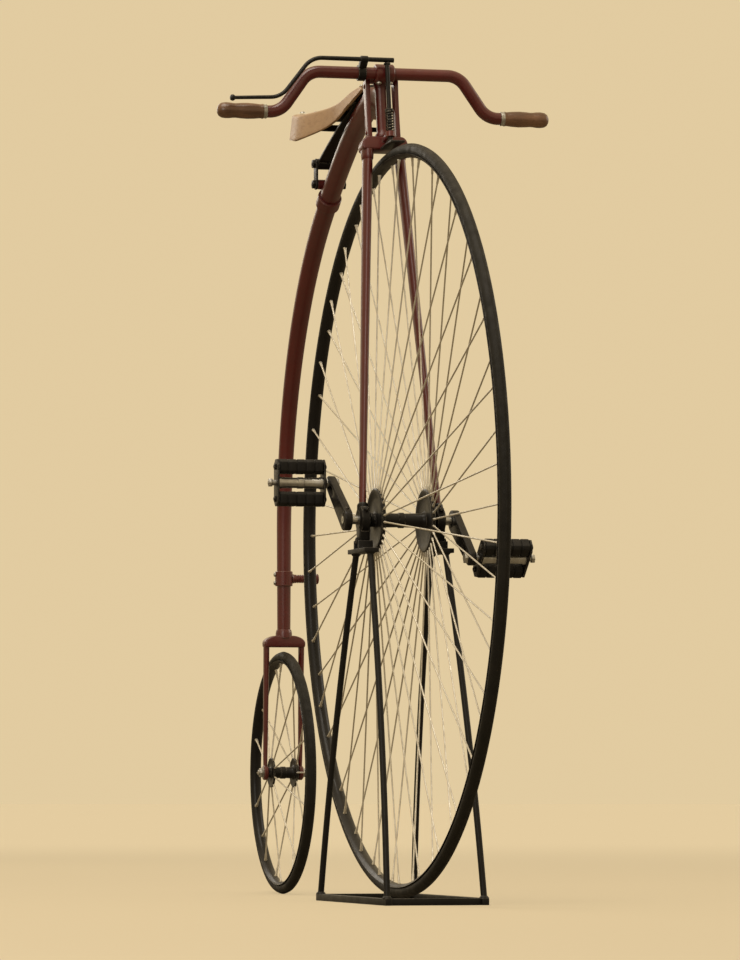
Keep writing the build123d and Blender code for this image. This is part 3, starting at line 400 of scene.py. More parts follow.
nickel = plated("old_nickel", bright=(0.50, 0.50, 0.49), dull=(0.20, 0.175, 0.13), rough=0.26)
spoke_wire = plated("spoke_wire", bright=(0.70, 0.67, 0.60), dull=(0.42, 0.37, 0.29), rough=0.40)
for (name, axle, radius, tyre_radius), hub, count in zip(wheels, hubs, spoke_counts):
    flange, flange_radius, flange_depth = hub[:3]
    root_radius = min(0.0022, flange_depth / 2 - 0.0003)
    root_end = flange_radius * (1 - spoke_seat) + root_length
    rim_inside = radius - 2 * tyre_radius - 2 * rim_wall - tyre_play
    bm = bmesh.new()
    for side, turn in ((1, 0), (-1, pi / count)):
        for k in range(count):
            outwards = upturned(turn + tau * k / count)
            start = axle + outwards * flange_radius * spoke_seat + crosswise * side * flange
            end = axle + outwards * (rim_inside + rim_depth) + crosswise * side * spoke_spread
            length = (end - start).length
            profile = [
                (0, 0), (0, root_radius), (root_end, root_radius), (root_end + 0.001, spoke_radius),
                (length - 0.016, spoke_radius), (length - 0.015, 0.0021), (length - 0.003, 0.0024),
                (length - 0.001, 0.0032), (length, 0.0032), (length, 0)]
            put(bm, lathe(profile, 10), facing(start, end - start, crosswise))
    finished(bm, f"{name}_spoke_set", f"{name}_wheel", spoke_wire, f"{name}_hub_spokes", sharp=50)

# Front axle: a turned steel bar that the hub and both cranks are keyed to. Its ends are chamfered and
# centre-drilled, flush with the cranks' outer faces.
low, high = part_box("front_axle")
axle_end, axle_radius = high.y, (high.z - low.z) / 2
axle_half = [
    (-axle_end - 0.0006, 0.0), (-axle_end - 0.0006, 0.0012), (-axle_end - 0.0002, 0.0022),
    (-axle_end - 0.0006, 0.0026), (-axle_end - 0.0006, axle_radius - 0.0012),
    (-axle_end + 0.0004, axle_radius - 0.0001)]
bm = bmesh.new()
put(bm, lathe(doubled(axle_half), 40), facing(front_axle, crosswise))
finished(bm, "front_axle_shaft", "front_wheel", nickel, "front_axle")

# Cranks: flat forgings, black, with a boss on the axle and a slot at the far end, in which the pedal pin
# is set nearer or further for the rider's leg. A cotter through the boss locks each to the axle.
crank_length, crank_place, crank_depth = 0.127, 0.098, 0.014
crank_boss, crank_tip = 0.019, 0.013
slot_travel, slot_radius, cotter_offset = 0.034, 0.00665, 0.008
crank_turns = (("left", 1, radians(-33)), ("right", -1, radians(147)))


def side_view(place, y=0.0, lean=0.0):
    """The matrix of a drawing seen from the right: its x leans up from forward, its y is a quarter on."""
    return facing(Vector((place.x, y, place.z)), -crosswise, upturned(lean))


def link_outline(near, far, near_radius, far_radius):
    """The outline round two circles on the x axis, joined by their tangents."""
    lean = acos((near_radius - far_radius) / (far - near))
    near_arc = arc(near_radius, lean, tau - 2 * lean, 20, (near, 0))
    return near_arc + arc(far_radius, -lean, 2 * lean, 20, (far, 0))


def rounded(bm, bevel, segments=3, angle=55):
    """Rounds the edges at which a mesh turns by more than an angle."""
    edges = [edge for edge in bm.edges if edge.is_manifold and edge.calc_face_angle() > radians(angle)]
    bmesh.ops.bevel(
        bm, geom=edges, offset=bevel, offset_type="OFFSET", segments=segments, profile=0.5, affect="EDGES",
        clamp_overlap=True, material=-1)


def plate(outline, depth, bevel=0.001, hole=None, angle=55):
    """A plate of an outline, centred on its plane, with rounded edges and at most one hole."""
    bm = bmesh.new()
    loops = []
    for points in (outline, hole) if hole else (outline,):
        verts = [bm.verts.new((x, y, -depth / 2)) for x, y in points]
        loops.append([bm.edges.new(pair) for pair in zip(verts, verts[1:] + verts[:1])])
    if hole:
        bmesh.ops.bridge_loops(bm, edges=loops[0] + loops[1])
    else:
        bmesh.ops.contextual_create(bm, geom=loops[0])
    grown = bmesh.ops.extrude_face_region(bm, geom=list(bm.faces))
    moved_verts = [item for item in grown["geom"] if isinstance(item, bmesh.types.BMVert)]
    bmesh.ops.translate(bm, vec=(0, 0, depth), verts=moved_verts)
    bmesh.ops.recalc_face_normals(bm, faces=bm.faces)
    rounded(bm, bevel, 3, angle)
    return bm


outline = link_outline(0, crank_length, crank_boss, crank_tip)
slot = link_outline(crank_length - slot_travel, crank_length, slot_radius, slot_radius - 1e-6)
boss = doubled([(-0.0075, 0), (-0.0075, 0.0125), (-0.0068, 0.0135)])
cotter = [(-0.021, 0), (-0.021, 0.0025), (-0.0202, 0.0034), (0.0195, 0.004), (0.0205, 0.0032), (0.0205, 0)]
bm = bmesh.new()
for name, side, turn in crank_turns:
    drawing = side_view(front_axle, side * crank_place, turn)
    put(bm, plate(outline, crank_depth, 0.0022, slot), drawing)
    put(bm, lathe(boss, 40), drawing)
    cotter_place = front_axle + crosswise * side * crank_place + upturned(turn) * cotter_offset
    put(bm, lathe(cotter, 16), facing(cotter_place, Vector((-sin(turn), 0, cos(turn)))))
finished(bm, "crank_pair", "front_wheel", black_enamel, "cranks")

# Pedal pins: a nut behind each crank, a collar on its face, and the spindle the pedal turns on, with an
# end nut. Bright turned steel.
pin_table = (  # start and length along the pin from the crank's middle, radius, is it a nut, its bolt's end
    (-0.013, 0.006, 0.010, True, 0.0),
    (-0.007, 0.014, 0.0065, False, 0.0),
    (0.007, 0.003, 0.010, True, 0.0),
    (0.010, 0.098, 0.005, False, 0.0),
    (0.108, 0.006, 0.008, True, 0.0015),
)
pins = {
    name: front_axle + upturned(turn) * crank_length + crosswise * side * crank_place
    for name, side, turn in crank_turns}


def moved(matrix, x=0.0, y=0.0, z=0.0):
    """A matrix moved along its own axes."""
    return matrix @ Matrix.Translation((x, y, z))


def looking_out(middle, side, distance=0.0):
    """The matrix at a distance to a side of a middle, with z on outwards."""
    return facing(middle + crosswise * side * distance, crosswise * side)


def shaft(length, radius, chamfer=0.0006, steps=32):
    """A short round bar from z = 0, with chamfered ends."""
    return lathe([
        (0, 0), (0, radius - chamfer), (chamfer, radius), (length - chamfer, radius),
        (length, radius - chamfer), (length, 0)], steps)


def nut(bm, matrix, height, radius, bolt=0.0):
    """A chamfered hexagon nut that stands on z = 0, and a domed bolt's end that shows above it."""
    hexagon = arc(radius, 0, tau, 6)[:6]
    put(bm, plate(hexagon, height, min(0.0007, height / 4), angle=40), moved(matrix, z=height / 2))
    if bolt:
        reach = radius * 0.52
        dome = [
            (0, 0), (0, reach), (height + bolt * 0.5, reach), (height + bolt * 0.85, reach * 0.7),
            (height + bolt, 0)]
        put(bm, lathe(dome, 24), matrix)


bm = bmesh.new()
for name, side, turn in crank_turns:
    for start, length, radius, is_nut, bolt in pin_table:
        place = looking_out(pins[name], side, start)
        if is_nut:
            nut(bm, place, length, radius, bolt)
        else:
            put(bm, shaft(length, radius), place)
finished(bm, "pedal_pin_pair", "front_wheel", nickel, "pedal_pins")

# Pedals: a barrel on the spindle between two end plates, and a rod through each of two rubber blocks. The
# steel is black, but the barrel is worn bright. The blocks are ribbed for the sole.
pedal_start, pedal_length, pedal_width = 0.013, 0.088, 0.083
plate_height, plate_depth, plate_corner = 0.030, 0.0035, 0.009
rubber_size, rubber_corner, rib_count, rib_gap, core_share = 0.026, 0.005, 5, 0.0022, 0.86
rod_places = ((rubber_size - pedal_width) / 2, (pedal_width - rubber_size) / 2)
pedal_tilts = {"left": radians(40), "right": radians(90)}
pedal_rubber = rubber(
    "pedal_rubber", dark=(0.006, 0.0055, 0.0045), pale=(0.014, 0.012, 0.009), dust_amount=0.2)


def clipped(half_x, half_y, corner):
    """The outline of a rectangle with its corners cut off."""
    return doubled([
        (half_x - corner, -half_y), (half_x, corner - half_y), (half_x, half_y - corner),
        (half_x - corner, half_y)])


reach = (pedal_length - plate_depth) / 2
end_plate = clipped(pedal_width / 2, plate_height / 2, plate_corner)
barrel = doubled([
    (-reach, 0.0052), (-reach, 0.0105), (-reach + 0.006, 0.011), (-reach + 0.009, 0.0098), (-0.006, 0.0092),
    (-0.005, 0.0102)])
outline = clipped(rubber_size / 2, rubber_size / 2, rubber_corner)
core = [(x * core_share, y * core_share) for x, y in outline]
block_length = pedal_length - 2 * plate_depth - 0.0006
pitch = block_length / rib_count
for name, side, turn in crank_turns:
    middle = pins[name] + crosswise * side * (pedal_start + pedal_length / 2)
    drawing = side_view(middle, middle.y, pedal_tilts[name])
    bm = bmesh.new()
    for end in (-1, 1):
        put(bm, plate(end_plate, plate_depth, 0.0008), moved(drawing, z=end * reach))
        for place in rod_places:
            seat = moved(drawing, place, 0, end * (reach + plate_depth / 2))
            nut(bm, seat if end > 0 else seat @ Matrix.Rotation(pi, 4, "X"), 0.0032, 0.0058, 0.0012)
    for place in rod_places:
        put(bm, shaft(2 * reach, 0.003, 0.0002, 16), moved(drawing, place, 0, -reach))
    finished(bm, f"pedal_{name}_plates", f"pedal_{name}", black_enamel, f"pedal_cage_{name}")
    bm = bmesh.new()
    put(bm, lathe(barrel, 40, ring=True), drawing)
    finished(bm, f"pedal_{name}_barrel", f"pedal_{name}", nickel)
    bm = bmesh.new()
    for place in rod_places:
        for k in range(rib_count):
            rib = plate(outline, pitch - rib_gap, 0.0013, angle=30)
            put(bm, rib, moved(drawing, place, 0, (k + 0.5) * pitch - block_length / 2))
        put(bm, plate(core, block_length, 0.0006, angle=30), moved(drawing, place))
    finished(bm, f"pedal_{name}_blocks", f"pedal_{name}", pedal_rubber, f"pedal_rubbers_{name}")

# Bearing housings at the fork's ends: cast steel in black enamel. Each has a round body with stepped faces on
# the axle, a socket that the blade is brazed into, a foot that rests in the stand, and an oil cup with a lid.
rake, cup_way = radians(10), upturned(radians(42))
bearing_place, bearing_width, bearing_radius = 0.068, 0.020, 0.024
foot_width, foot_reach = 0.022, 0.050
socket_table = (  # height along the steering axis, distance from the middle, half depth, half width
    (0.014, bearing_place, 0.0125, 0.0098),
    (0.021, bearing_place, 0.0125, 0.0098),
    (0.026, bearing_place, 0.0124, 0.0096),
    (0.0285, bearing_place, 0.0119, 0.0088),
    (0.030, bearing_place, 0.0108, 0.0072),
)
steering = facing(front_axle, Vector((-sin(rake), 0, cos(rake))))


def drawn(stations, segments=24, turn=0.0):
    """A closed bar drawn through its sections: each a matrix whose x and y axes are the half widths."""
    bm = bmesh.new()
    first = stations[0] @ Matrix.Rotation(turn, 4, "Z")
    made = bmesh.ops.create_circle(bm, cap_ends=True, segments=segments, radius=1, matrix=first)
    edges = list({edge for vert in made["verts"] for edge in vert.link_edges})
    for before, after in zip(stations, stations[1:]):
        grown = bmesh.ops.extrude_edge_only(bm, edges=edges)["geom"]
        verts = {item for item in grown if isinstance(item, bmesh.types.BMVert)}
        edges = [
            item for item in grown if isinstance(item, bmesh.types.BMEdge) and verts.issuperset(item.verts)]
        bmesh.ops.transform(bm, matrix=after @ before.inverted(), verts=list(verts))
    bmesh.ops.contextual_create(bm, geom=edges)
    return bm


def section(matrix, half_x, half_y):
    """A matrix with its x and y axes as long as a section's half widths."""
    return matrix @ Matrix.Diagonal((half_x, half_y, 1, 1))


def up_the_fork(table, side, segments):
    """A bar drawn up one side of the fork, through the rows of a table."""
    return drawn([
        section(moved(steering, 0, side * offset, height), half_depth, half_width)
        for height, offset, half_depth, half_width in table], segments)


face = bearing_width / 2
profile = doubled([
    (-face, 0.0083), (-face, 0.0165), (-face + 0.001, 0.0175), (-face + 0.0016, 0.0215),
    (-face + 0.0035, bearing_radius)])
foot = doubled([(foot_width / 2, -foot_reach), (foot_width / 2, -0.028), (foot_width / 2 + 0.004, -0.014)])
cup = [(0, 0), (0, 0.0034), (0.003, 0.0034), (0.0034, 0.0046), (0.0072, 0.0046), (0.0085, 0.0034), (0.009, 0)]
bm = bmesh.new()
for side in (1, -1):
    put(bm, lathe(profile, 56, ring=True), looking_out(front_axle, side, bearing_place))
    put(bm, up_the_fork(socket_table, side, 32))
    put(bm, plate(foot, bearing_width - 0.001, 0.0022, angle=25), side_view(front_axle, side * bearing_place))
    nut(bm, looking_out(front_axle - upwards * 0.036, side, bearing_place + 0.0092), 0.0042, 0.0062, 0.0014)
    cup_place = front_axle + crosswise * side * bearing_place + cup_way * (bearing_radius - 0.001)
    put(bm, lathe(cup, 24), facing(cup_place, cup_way, crosswise))
finished(bm, "bearing_housings", "fork", black_enamel, "bearings")

# Fork blades: straight oval steel tubes that taper downwards and spread to clear the hub, brazed into the
# crown with a short collar, under dark red enamel.
crown_height = 0.672
blade_table = (  # height along the steering axis, distance from the middle, half depth, half width
    (0.024, 0.0684, 0.0099, 0.0059),
    (0.030, 0.068, 0.010, 0.006),
    (crown_height, 0.029, 0.015, 0.009),
    (crown_height + 0.006, 0.029, 0.015, 0.009),
)
collar_table = (  # the same
    (0.655, 0.0298, 0.0150, 0.0090),
    (0.6575, 0.0298, 0.0162, 0.0102),
    (0.666, 0.0298, 0.0170, 0.0110),
    (crown_height + 0.001, 0.0298, 0.0172, 0.0112),
)
maroon = enamel(
    "maroon_enamel", deep=(0.068, 0.0042, 0.0030), light=(0.108, 0.0080, 0.0052), bare=(0.26, 0.19, 0.14),
    gloss=0.26, coat_weight=0.22)
bm = bmesh.new()
for side in (1, -1):
    put(bm, up_the_fork(blade_table, side, 40))
    put(bm, up_the_fork(collar_table, side, 40))
finished(bm, "fork_blade_pair", "fork", maroon, "fork_blades")

# Steering head: forged steel under dark red enamel. A crown over the blades, two waisted cheeks riveted to it
# and a bridge on top leave a window for the neck's spindle, and a lug on the crown guides the brake's rod.
crown_top, crown_depth, window, bridge = 0.696, 0.034, 0.104, 0.016
crown_half, head_half, cheek_depth, cheek_wall, cheek_waist = 0.042, 0.030, 0.023, 0.008, 0.0022
head_middle, head_corner, cheek_steps = 0.0025, 0.008, 8
bridge_foot = crown_top + window
head_top = bridge_foot + bridge
plunger_forward, guide_height, guide_depth = 0.052, 0.684, 0.010
front_view = Matrix(((0, 0, 1, 0), (1, 0, 0, 0), (0, 1, 0, 0), (0, 0, 0, 1)))


def sleeve(length, inside, outside, chamfer, steps=40, fall=None):
    """A tube centred on z = 0, its outer edges cut back by a chamfer, and by fall or as much in radius."""
    half = length / 2
    return lathe(doubled([
        (-half, inside), (-half, outside - (fall or chamfer)), (-half + chamfer, outside)]), steps, ring=True)


shoulders = [
    (crown_half - (crown_half - head_half) * (1 - x), crown_height + 0.008 + 0.016 * y)
    for x, y in arc(1, 0, pi / 2, 6)]
crown = doubled([(crown_half - 0.001, crown_height)] + shoulders)
cheek_half = [
    (cheek_depth / 2 - cheek_waist * sin(pi * share), crown_top - 0.002 + (window + 0.004) * share)
    for share in (k / cheek_steps for k in range(cheek_steps + 1))]
cheek = [(head_middle + x, y) for x, y in doubled(cheek_half)]
rivet = [(0, 0), (0, 0.0046), (0.001, 0.0042), (0.002, 0.0026), (0.0024, 0)]
bm = bmesh.new()
put(bm, plate(crown, crown_depth, 0.003, angle=50), steering @ front_view)
for side in (1, -1):
    put(bm, plate(cheek, cheek_wall, 0.0016, angle=40), side_view(
        front_axle, side * (head_half - cheek_wall / 2), rake))
    for height in (crown_top + 0.009, bridge_foot - 0.009):
        seat = moved(steering, head_middle, side * (head_half - 0.0004), height)
        put(bm, lathe(rivet, 24), seat @ Matrix.Rotation(-side * pi / 2, 4, "X"))
top = [(head_middle + x, y) for x, y in clipped(cheek_depth / 2 + 0.003, head_half, head_corner)]
put(bm, plate(top, bridge, 0.0025, angle=40), moved(steering, z=bridge_foot + bridge / 2))
guide_middle = guide_height + guide_depth / 2
put(bm, sleeve(guide_depth, 0.0043, 0.008, 0.0006), moved(steering, plunger_forward, 0, guide_middle))
arm = [(0.012, -0.006), (plunger_forward - 0.006, -0.005), (plunger_forward - 0.006, 0.005), (0.012, 0.006)]
put(bm, plate(arm, guide_depth - 0.001, 0.0014), moved(steering, z=guide_middle))
finished(bm, "steering_head", "fork", maroon, "fork_head")

# Head bolt: a hexagon bolt through the bridge, with a round locknut under its head, that closes the top
# bearing of the spindle. Bright steel.
bm = bmesh.new()
put(bm, shaft(bridge - 0.0015, 0.006, 0.0004), moved(steering, z=bridge_foot + 0.0016))
put(bm, shaft(0.003, 0.0112, 0.0007, 40), moved(steering, z=head_top))
nut(bm, moved(steering, z=head_top + 0.0028), 0.0058, 0.009, 0.0006)
finished(bm, "head_bolt_set", "fork", nickel, "head_bolt")

# Handlebar: one steel tube under dark red enamel, level in the middle, that drops on each side in an easy
# double bend to level ends, so that it clears the rider's knees.
bar_radius, bar_forward, bar_height = 0.011, 0.028, 0.808
bar_flat, bar_low, bar_drop, bar_end = 0.138, 0.190, 0.074, 0.298
bend_radius = 0.040
bar_centre = steering @ Vector((bar_forward, 0, bar_height))


def bent_route(points, radius, steps=10):
    """Places and ways along straight runs joined by arcs."""
    route = [(points[0], (points[1] - points[0]).normalized())]
    for before, corner, after in zip(points, points[1:], points[2:]):
        way_in, way_out = (corner - before).normalized(), (after - corner).normalized()
        turn = way_in.angle(way_out)
        start = corner - way_in * radius * tan(turn / 2)
        axis = way_in.cross(way_out).normalized()
        centre = start + axis.cross(way_in) * radius
        for k in range(steps + 1):
            part_turn = Matrix.Rotation(turn * k / steps, 3, axis)
            route.append((centre + part_turn @ (start - centre), part_turn @ way_in))
    route.append((points[-1], (points[-1] - points[-2]).normalized()))
    return route


bar_points = [
    bar_centre + Vector((0, y, z)) for y, z in (
        (-bar_end, -bar_drop), (-bar_low, -bar_drop), (-bar_flat, 0),
        (bar_flat, 0), (bar_low, -bar_drop), (bar_end, -bar_drop))]
bar_route = bent_route(bar_points, bend_radius)
bm = bmesh.new()
put(bm, drawn([section(facing(place, way), bar_radius, bar_radius) for place, way in bar_route], 28))
finished(bm, "handlebar_tube", "fork", maroon, "handlebar")

# Handlebar lug: a steel forging under dark red enamel, brazed to the front of the head and closed round the
# bar. Its two pinch bolts are bright steel, and their nuts show from below.
lug_length, lug_radius, block_height, pinch_offset = 0.034, 0.017, 0.022, 0.0105
bm = bmesh.new()
put(bm, sleeve(lug_length, bar_radius + 0.0001, lug_radius, 0.002, 48), facing(bar_centre, crosswise))
block = [(0.0145, -0.0145), (0.026, -0.0125), (0.026, 0.0125), (0.0145, 0.0145)]
put(bm, plate(block, block_height, 0.002), moved(steering, z=bar_height))
finished(bm, "handlebar_lug", "fork", maroon, "bar_lug")
bm = bmesh.new()
for side in (1, -1):
    pinch = moved(steering, bar_forward + 0.002, side * pinch_offset, bar_height - lug_radius + 0.001)
    nut(bm, pinch @ Matrix.Rotation(pi, 4, "X"), 0.0036, 0.005, 0.0012)
finished(bm, "handlebar_lug_bolts", "fork", nickel)

# Grips: turned and waxed brown wood, swelling to a knob at the end of the palm, each held by a nickel
# ferrule at its neck.
grip_start = 0.215
grip = [  # distance from the middle of the bar, radius
    (0.221, 0.0), (0.221, 0.0112), (0.221, 0.0128), (0.223, 0.0132), (0.226, 0.0124), (0.228, 0.0126),
    (0.238, 0.0136), (0.250, 0.0142), (0.262, 0.0137), (0.271, 0.0129), (0.276, 0.0131), (0.283, 0.0140),
    (0.290, 0.0142), (0.297, 0.0131), (0.3015, 0.0104), (0.304, 0.0062), (0.305, 0.0)]
ferrule = [  # distance from the grip's start, radius
    (0, 0.0112), (0, 0.0119), (0.0006, 0.0126), (0.0022, 0.0128), (0.0028, 0.0122), (0.0058, 0.0124),
    (0.0064, 0.0131), (0.0070, 0.0131), (0.0072, 0.0112)]
turned_wood, tree, shader = new_material("turned_wood")
grain = noise(tree, 55.0, 6.0, (1.0, 0.08, 1.0))
pores = noise(tree, 700.0, 2.0, (1.0, 0.05, 1.0))
lines = sums(tree, "ADD", sums(tree, "MULTIPLY", grain, 0.75), sums(tree, "MULTIPLY", pores, 0.25))
streaks = excess(tree, lines, 0.36, 3.4)
colour = tinted(tree, streaks, (0.070, 0.026, 0.009), (0.23, 0.105, 0.042))
sweat = sums(tree, "MULTIPLY", placed(tree, blotches, Scale=30.0, Contrast=2.2), 0.55)
wired(tree, shader, {
    "Base Color": tinted(tree, sweat, colour, (0.050, 0.020, 0.008)),
    "Roughness": between(tree, streaks, 0.30, 0.48),
    "Coat Weight": 0.25, "Coat Roughness": 0.25,
    "Normal": raised(tree, lines, 0.0006, 0.4)})
bm, ferrules = bmesh.new(), bmesh.new()
for side in (1, -1):
    place = looking_out(bar_centre - upwards * bar_drop, side)
    put(bm, lathe(grip, 48), place)
    put(ferrules, lathe(ferrule, 40, ring=True), moved(place, z=grip_start))
finished(bm, "wood_grips", "fork", ("turned_wood", turned_wood), "grips")
finished(ferrules, "grip_ferrules", "fork", nickel)

# Brake: a round steel rod in black enamel, guided down the front of the head, with a curved spoon on its foot
# over the tyre. A coil spring between the crown's lug and the rod's collar lifts it again.
spoon_inside, spoon_depth, spoon_width = 0.668, 0.004, 0.026
spoon_start, spoon_sweep = radians(2.3), radians(6.2)
plunger_foot, plunger_top = 0.668, 0.821
spring_foot, spring_top, spring_radius, spring_wire = 0.6946, 0.730, 0.0066, 0.0011
spring_turns, turn_steps = 7, 14
plunger_table = (  # foot's height on the steering axis, length, radius, chamfer
    (plunger_foot, plunger_top - plunger_foot, 0.004, 0.0005),  # rod
    (0.6695, 0.008, 0.0078, 0.0018),  # boss on the spoon
    (spring_top, 0.005, 0.0078, 0.0008),  # collar over the spring
    (plunger_top - 0.0034, 0.003, 0.0062, 0.0008),  # cap under the lever
)
bm = bmesh.new()
inside = arc(spoon_inside, pi / 2 - spoon_start, -spoon_sweep, 10)
outside = arc(spoon_inside + spoon_depth, pi / 2 - spoon_start, -spoon_sweep, 10)
put(bm, plate(inside + outside[::-1], spoon_width, 0.0012, angle=50), side_view(front_axle, 0, rake))
for height, length, radius, chamfer in plunger_table:
    put(bm, shaft(length, radius, chamfer), moved(steering, plunger_forward, 0, height))
coil, turned = [], steering.to_3x3()
for k in range(spring_turns * turn_steps + 1):
    turn = tau * k / turn_steps
    height = spring_foot + (spring_top - spring_foot) * k / (spring_turns * turn_steps)
    spoke = Vector((cos(turn), sin(turn), 0)) * spring_radius
    place = steering @ (Vector((plunger_forward, 0, height)) + spoke)
    way = turned @ Vector((-sin(turn), cos(turn), 0.12))
    coil.append(section(facing(place, way, turned @ upwards), spring_wire, spring_wire))
put(bm, drawn(coil, 8))
finished(bm, "brake_rod_and_spoon", "fork", black_enamel, "brake_plunger")

# Brake lever: a flattened steel bar in black enamel that follows the handlebar's right side. It rocks on a
# bolt in a clamp. Its inner end lies on the rod and its outer end has a small knob for the fingers.
lever_forward = (steering @ Vector((plunger_forward, 0, plunger_top))).x
lever_height = bar_centre.z + 0.022
lever_end, lever_half_depth, lever_half_height, tip_half_height = 0.285, 0.0045, 0.0044, 0.0032
clamp_offset, ring_length, ring_radius, post_depth = 0.042, 0.014, 0.014, 0.0135
lever_points = [
    Vector((lever_forward, y, lever_height + z)) for y, z in (
        (0.012, 0), (-bar_flat, 0), (-bar_low - 0.004, -bar_drop + 0.002), (-lever_end, -bar_drop - 0.002))]
route = bent_route(lever_points, bend_radius)
lever = []
for place, way in route:
    share = min(1.0, max(0.0, -place.y / lever_end))
    half_height = lever_half_height + (tip_half_height - lever_half_height) * share
    lever.append(section(facing(place, way), lever_half_depth, half_height))
knob = [(0, 0), (0.0008, 0.0034), (0.0035, 0.0055), (0.0065, 0.0058), (0.0095, 0.0040), (0.0105, 0)]
end_place, end_way = route[-1]
bm = bmesh.new()
put(bm, drawn(lever, 20))
put(bm, lathe(knob, 24), facing(end_place - end_way * 0.0085, end_way))
ring = sleeve(ring_length, bar_radius + 0.0001, ring_radius, 0.0008)
put(bm, ring, facing(bar_centre - crosswise * clamp_offset, crosswise))
post_way = Vector((lever_forward - bar_centre.x, 0, lever_height - bar_centre.z))
post_lean = pi / 2 - acos(post_way.normalized().z)
post = link_outline(0.0125, post_way.length, 0.0046, 0.0062)
put(bm, plate(post, post_depth, 0.0012), side_view(bar_centre, -clamp_offset, post_lean))
rocker = Vector((lever_forward, -clamp_offset, lever_height))
for side in (1, -1):
    nut(bm, looking_out(rocker, side, 0.0066), 0.0024, 0.0046, 0.0008)
finished(bm, "brake_lever_bar", "fork", black_enamel, "brake_lever")

# Backbone: a tapered steel tube under dark red enamel. It follows the front wheel's edge in three arcs and
# then drops straight to the rear fork.
neck_heading, neck_distance = radians(13), 0.785
backbone_arcs = ((neck_distance, radians(15)), (1.500, radians(8)), (0.710, radians(54)))  # radius, turn
backbone_front, backbone_tail = 0.020, 0.0125
neck_end = front_axle + Vector((-sin(neck_heading), 0, cos(neck_heading))) * neck_distance
tail_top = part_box("rear_fork_crown")[1].z


def bend_on(line, radius, turn, steps):
    """Carries a line of places and ways on through an arc that bends down and back."""
    for _ in range(steps):
        place, way = line[-1]
        half_turn = Matrix.Rotation(-turn / steps / 2, 3, "Y")
        chord = 2 * radius * sin(turn / steps / 2)
        line.append((place + (half_turn @ way) * chord, half_turn @ half_turn @ way))


def met(line, axis, value):
    """The place, way and third number of a line where its x or z, which both fall, is a value."""
    for (before, way_in, first), (after, way_out, last) in zip(line, line[1:]):
        if before[axis] >= value >= after[axis]:
            share = (before[axis] - value) / (before[axis] - after[axis])
            way = way_in.lerp(way_out, share).normalized()
            return before.lerp(after, share), way, first + share * (last - first)


line = [(neck_end, Vector((-cos(neck_heading), 0, -sin(neck_heading))))]
for radius, turn in backbone_arcs:
    bend_on(line, radius, turn, max(4, round(turn / radians(1.5))))
run_start = line[-1][0]
tail_end = Vector((run_start.x, 0, tail_top))
line += [(run_start.lerp(tail_end, k / 4), -upwards) for k in range(1, 5)]
runs = [0.0]
for before, after in zip(line, line[1:]):
    runs.append(runs[-1] + (after[0] - before[0]).length)
backbone_line = [  # place, way, radius
    (place, way, backbone_front + (backbone_tail - backbone_front) * run / runs[-1])
    for (place, way), run in zip(line, runs)]
stations = [section(facing(place, way, crosswise), reach, reach) for place, way, reach in backbone_line]
bm = bmesh.new()
put(bm, drawn(stations, 36))
finished(bm, "backbone_tube", "backbone", maroon, "backbone")

# Neck: a steel forging brazed into the backbone's end, in the same enamel. It narrows to a web between the
# head's cheeks and carries the upright spindle, which turns on a cone at each end.
neck_table = (  # distance ahead of the backbone's end, top and bottom along the steering axis, half width
    (-0.006, 0.8050, 0.7640, 0.0209),
    (-0.002, 0.8055, 0.7630, 0.0213),
    (0.003, 0.8040, 0.7625, 0.0203),
    (0.008, 0.7990, 0.7612, 0.0175),
    (0.014, 0.7975, 0.7585, 0.0135),
    (0.022, 0.7970, 0.7545, 0.0095),
    (0.030, 0.7967, 0.7505, 0.0073),
    (0.038, 0.7965, 0.7465, 0.0066),
    (0.042, 0.7965, 0.7450, 0.0066),
)
near = steering.inverted() @ neck_end
stations = []
for ahead, top, foot, half_width in neck_table:
    place = moved(steering, near.x + ahead, 0, (top + foot) / 2) @ Matrix.Rotation(-pi / 2, 4, "Y")
    stations.append(section(place, (top - foot) / 2, half_width))
spindle = [(crown_top + height, reach) for height, reach in (
    (0.0006, 0), (0.0006, 0.0115), (0.002, 0.0135), (0.006, 0.0135), (0.010, 0.0105), (0.016, 0.010))]
spindle += [(bridge_foot - depth, reach) for depth, reach in (
    (0.016, 0.010), (0.010, 0.0105), (0.006, 0.0130), (0.002, 0.0130), (0.0006, 0.0112), (0.0006, 0))]
bm = bmesh.new()
put(bm, drawn(stations, 36))
put(bm, lathe(spindle, 40), steering)
finished(bm, "neck_forging", "backbone", maroon, "neck", sharp=50)

# Rear fork crown: a steel forging under dark red enamel, arched over the small wheel. The backbone's tail is
# brazed into it through a raised collar.
rear_crown_rise, rear_crown_half, rear_crown_depth = 0.022, 0.0395, 0.026
arch_flat, arch_shoulder, arch_steps = 0.0155, 0.014, 8
arch = [(rear_crown_half - 0.0005, -rear_crown_rise)]
for k in range(arch_steps + 1):
    turn = pi / 2 * k / arch_steps
    offset = arch_flat + (rear_crown_half - arch_flat) * cos(turn) ** 1.2
    arch.append((offset, arch_shoulder * (sin(turn) - 1)))
collar = [(-0.004, 0), (-0.004, 0.0158), (0.004, 0.0156), (0.009, 0.0147), (0.0115, 0.0136), (0.0115, 0)]
bm = bmesh.new()
put(bm, plate(doubled(arch), rear_crown_depth, 0.003, angle=50), Matrix.Translation(tail_end) @ front_view)
put(bm, lathe(collar, 40), facing(tail_end, upwards))
finished(bm, "rear_fork_arch", "backbone", maroon, "rear_fork_crown")

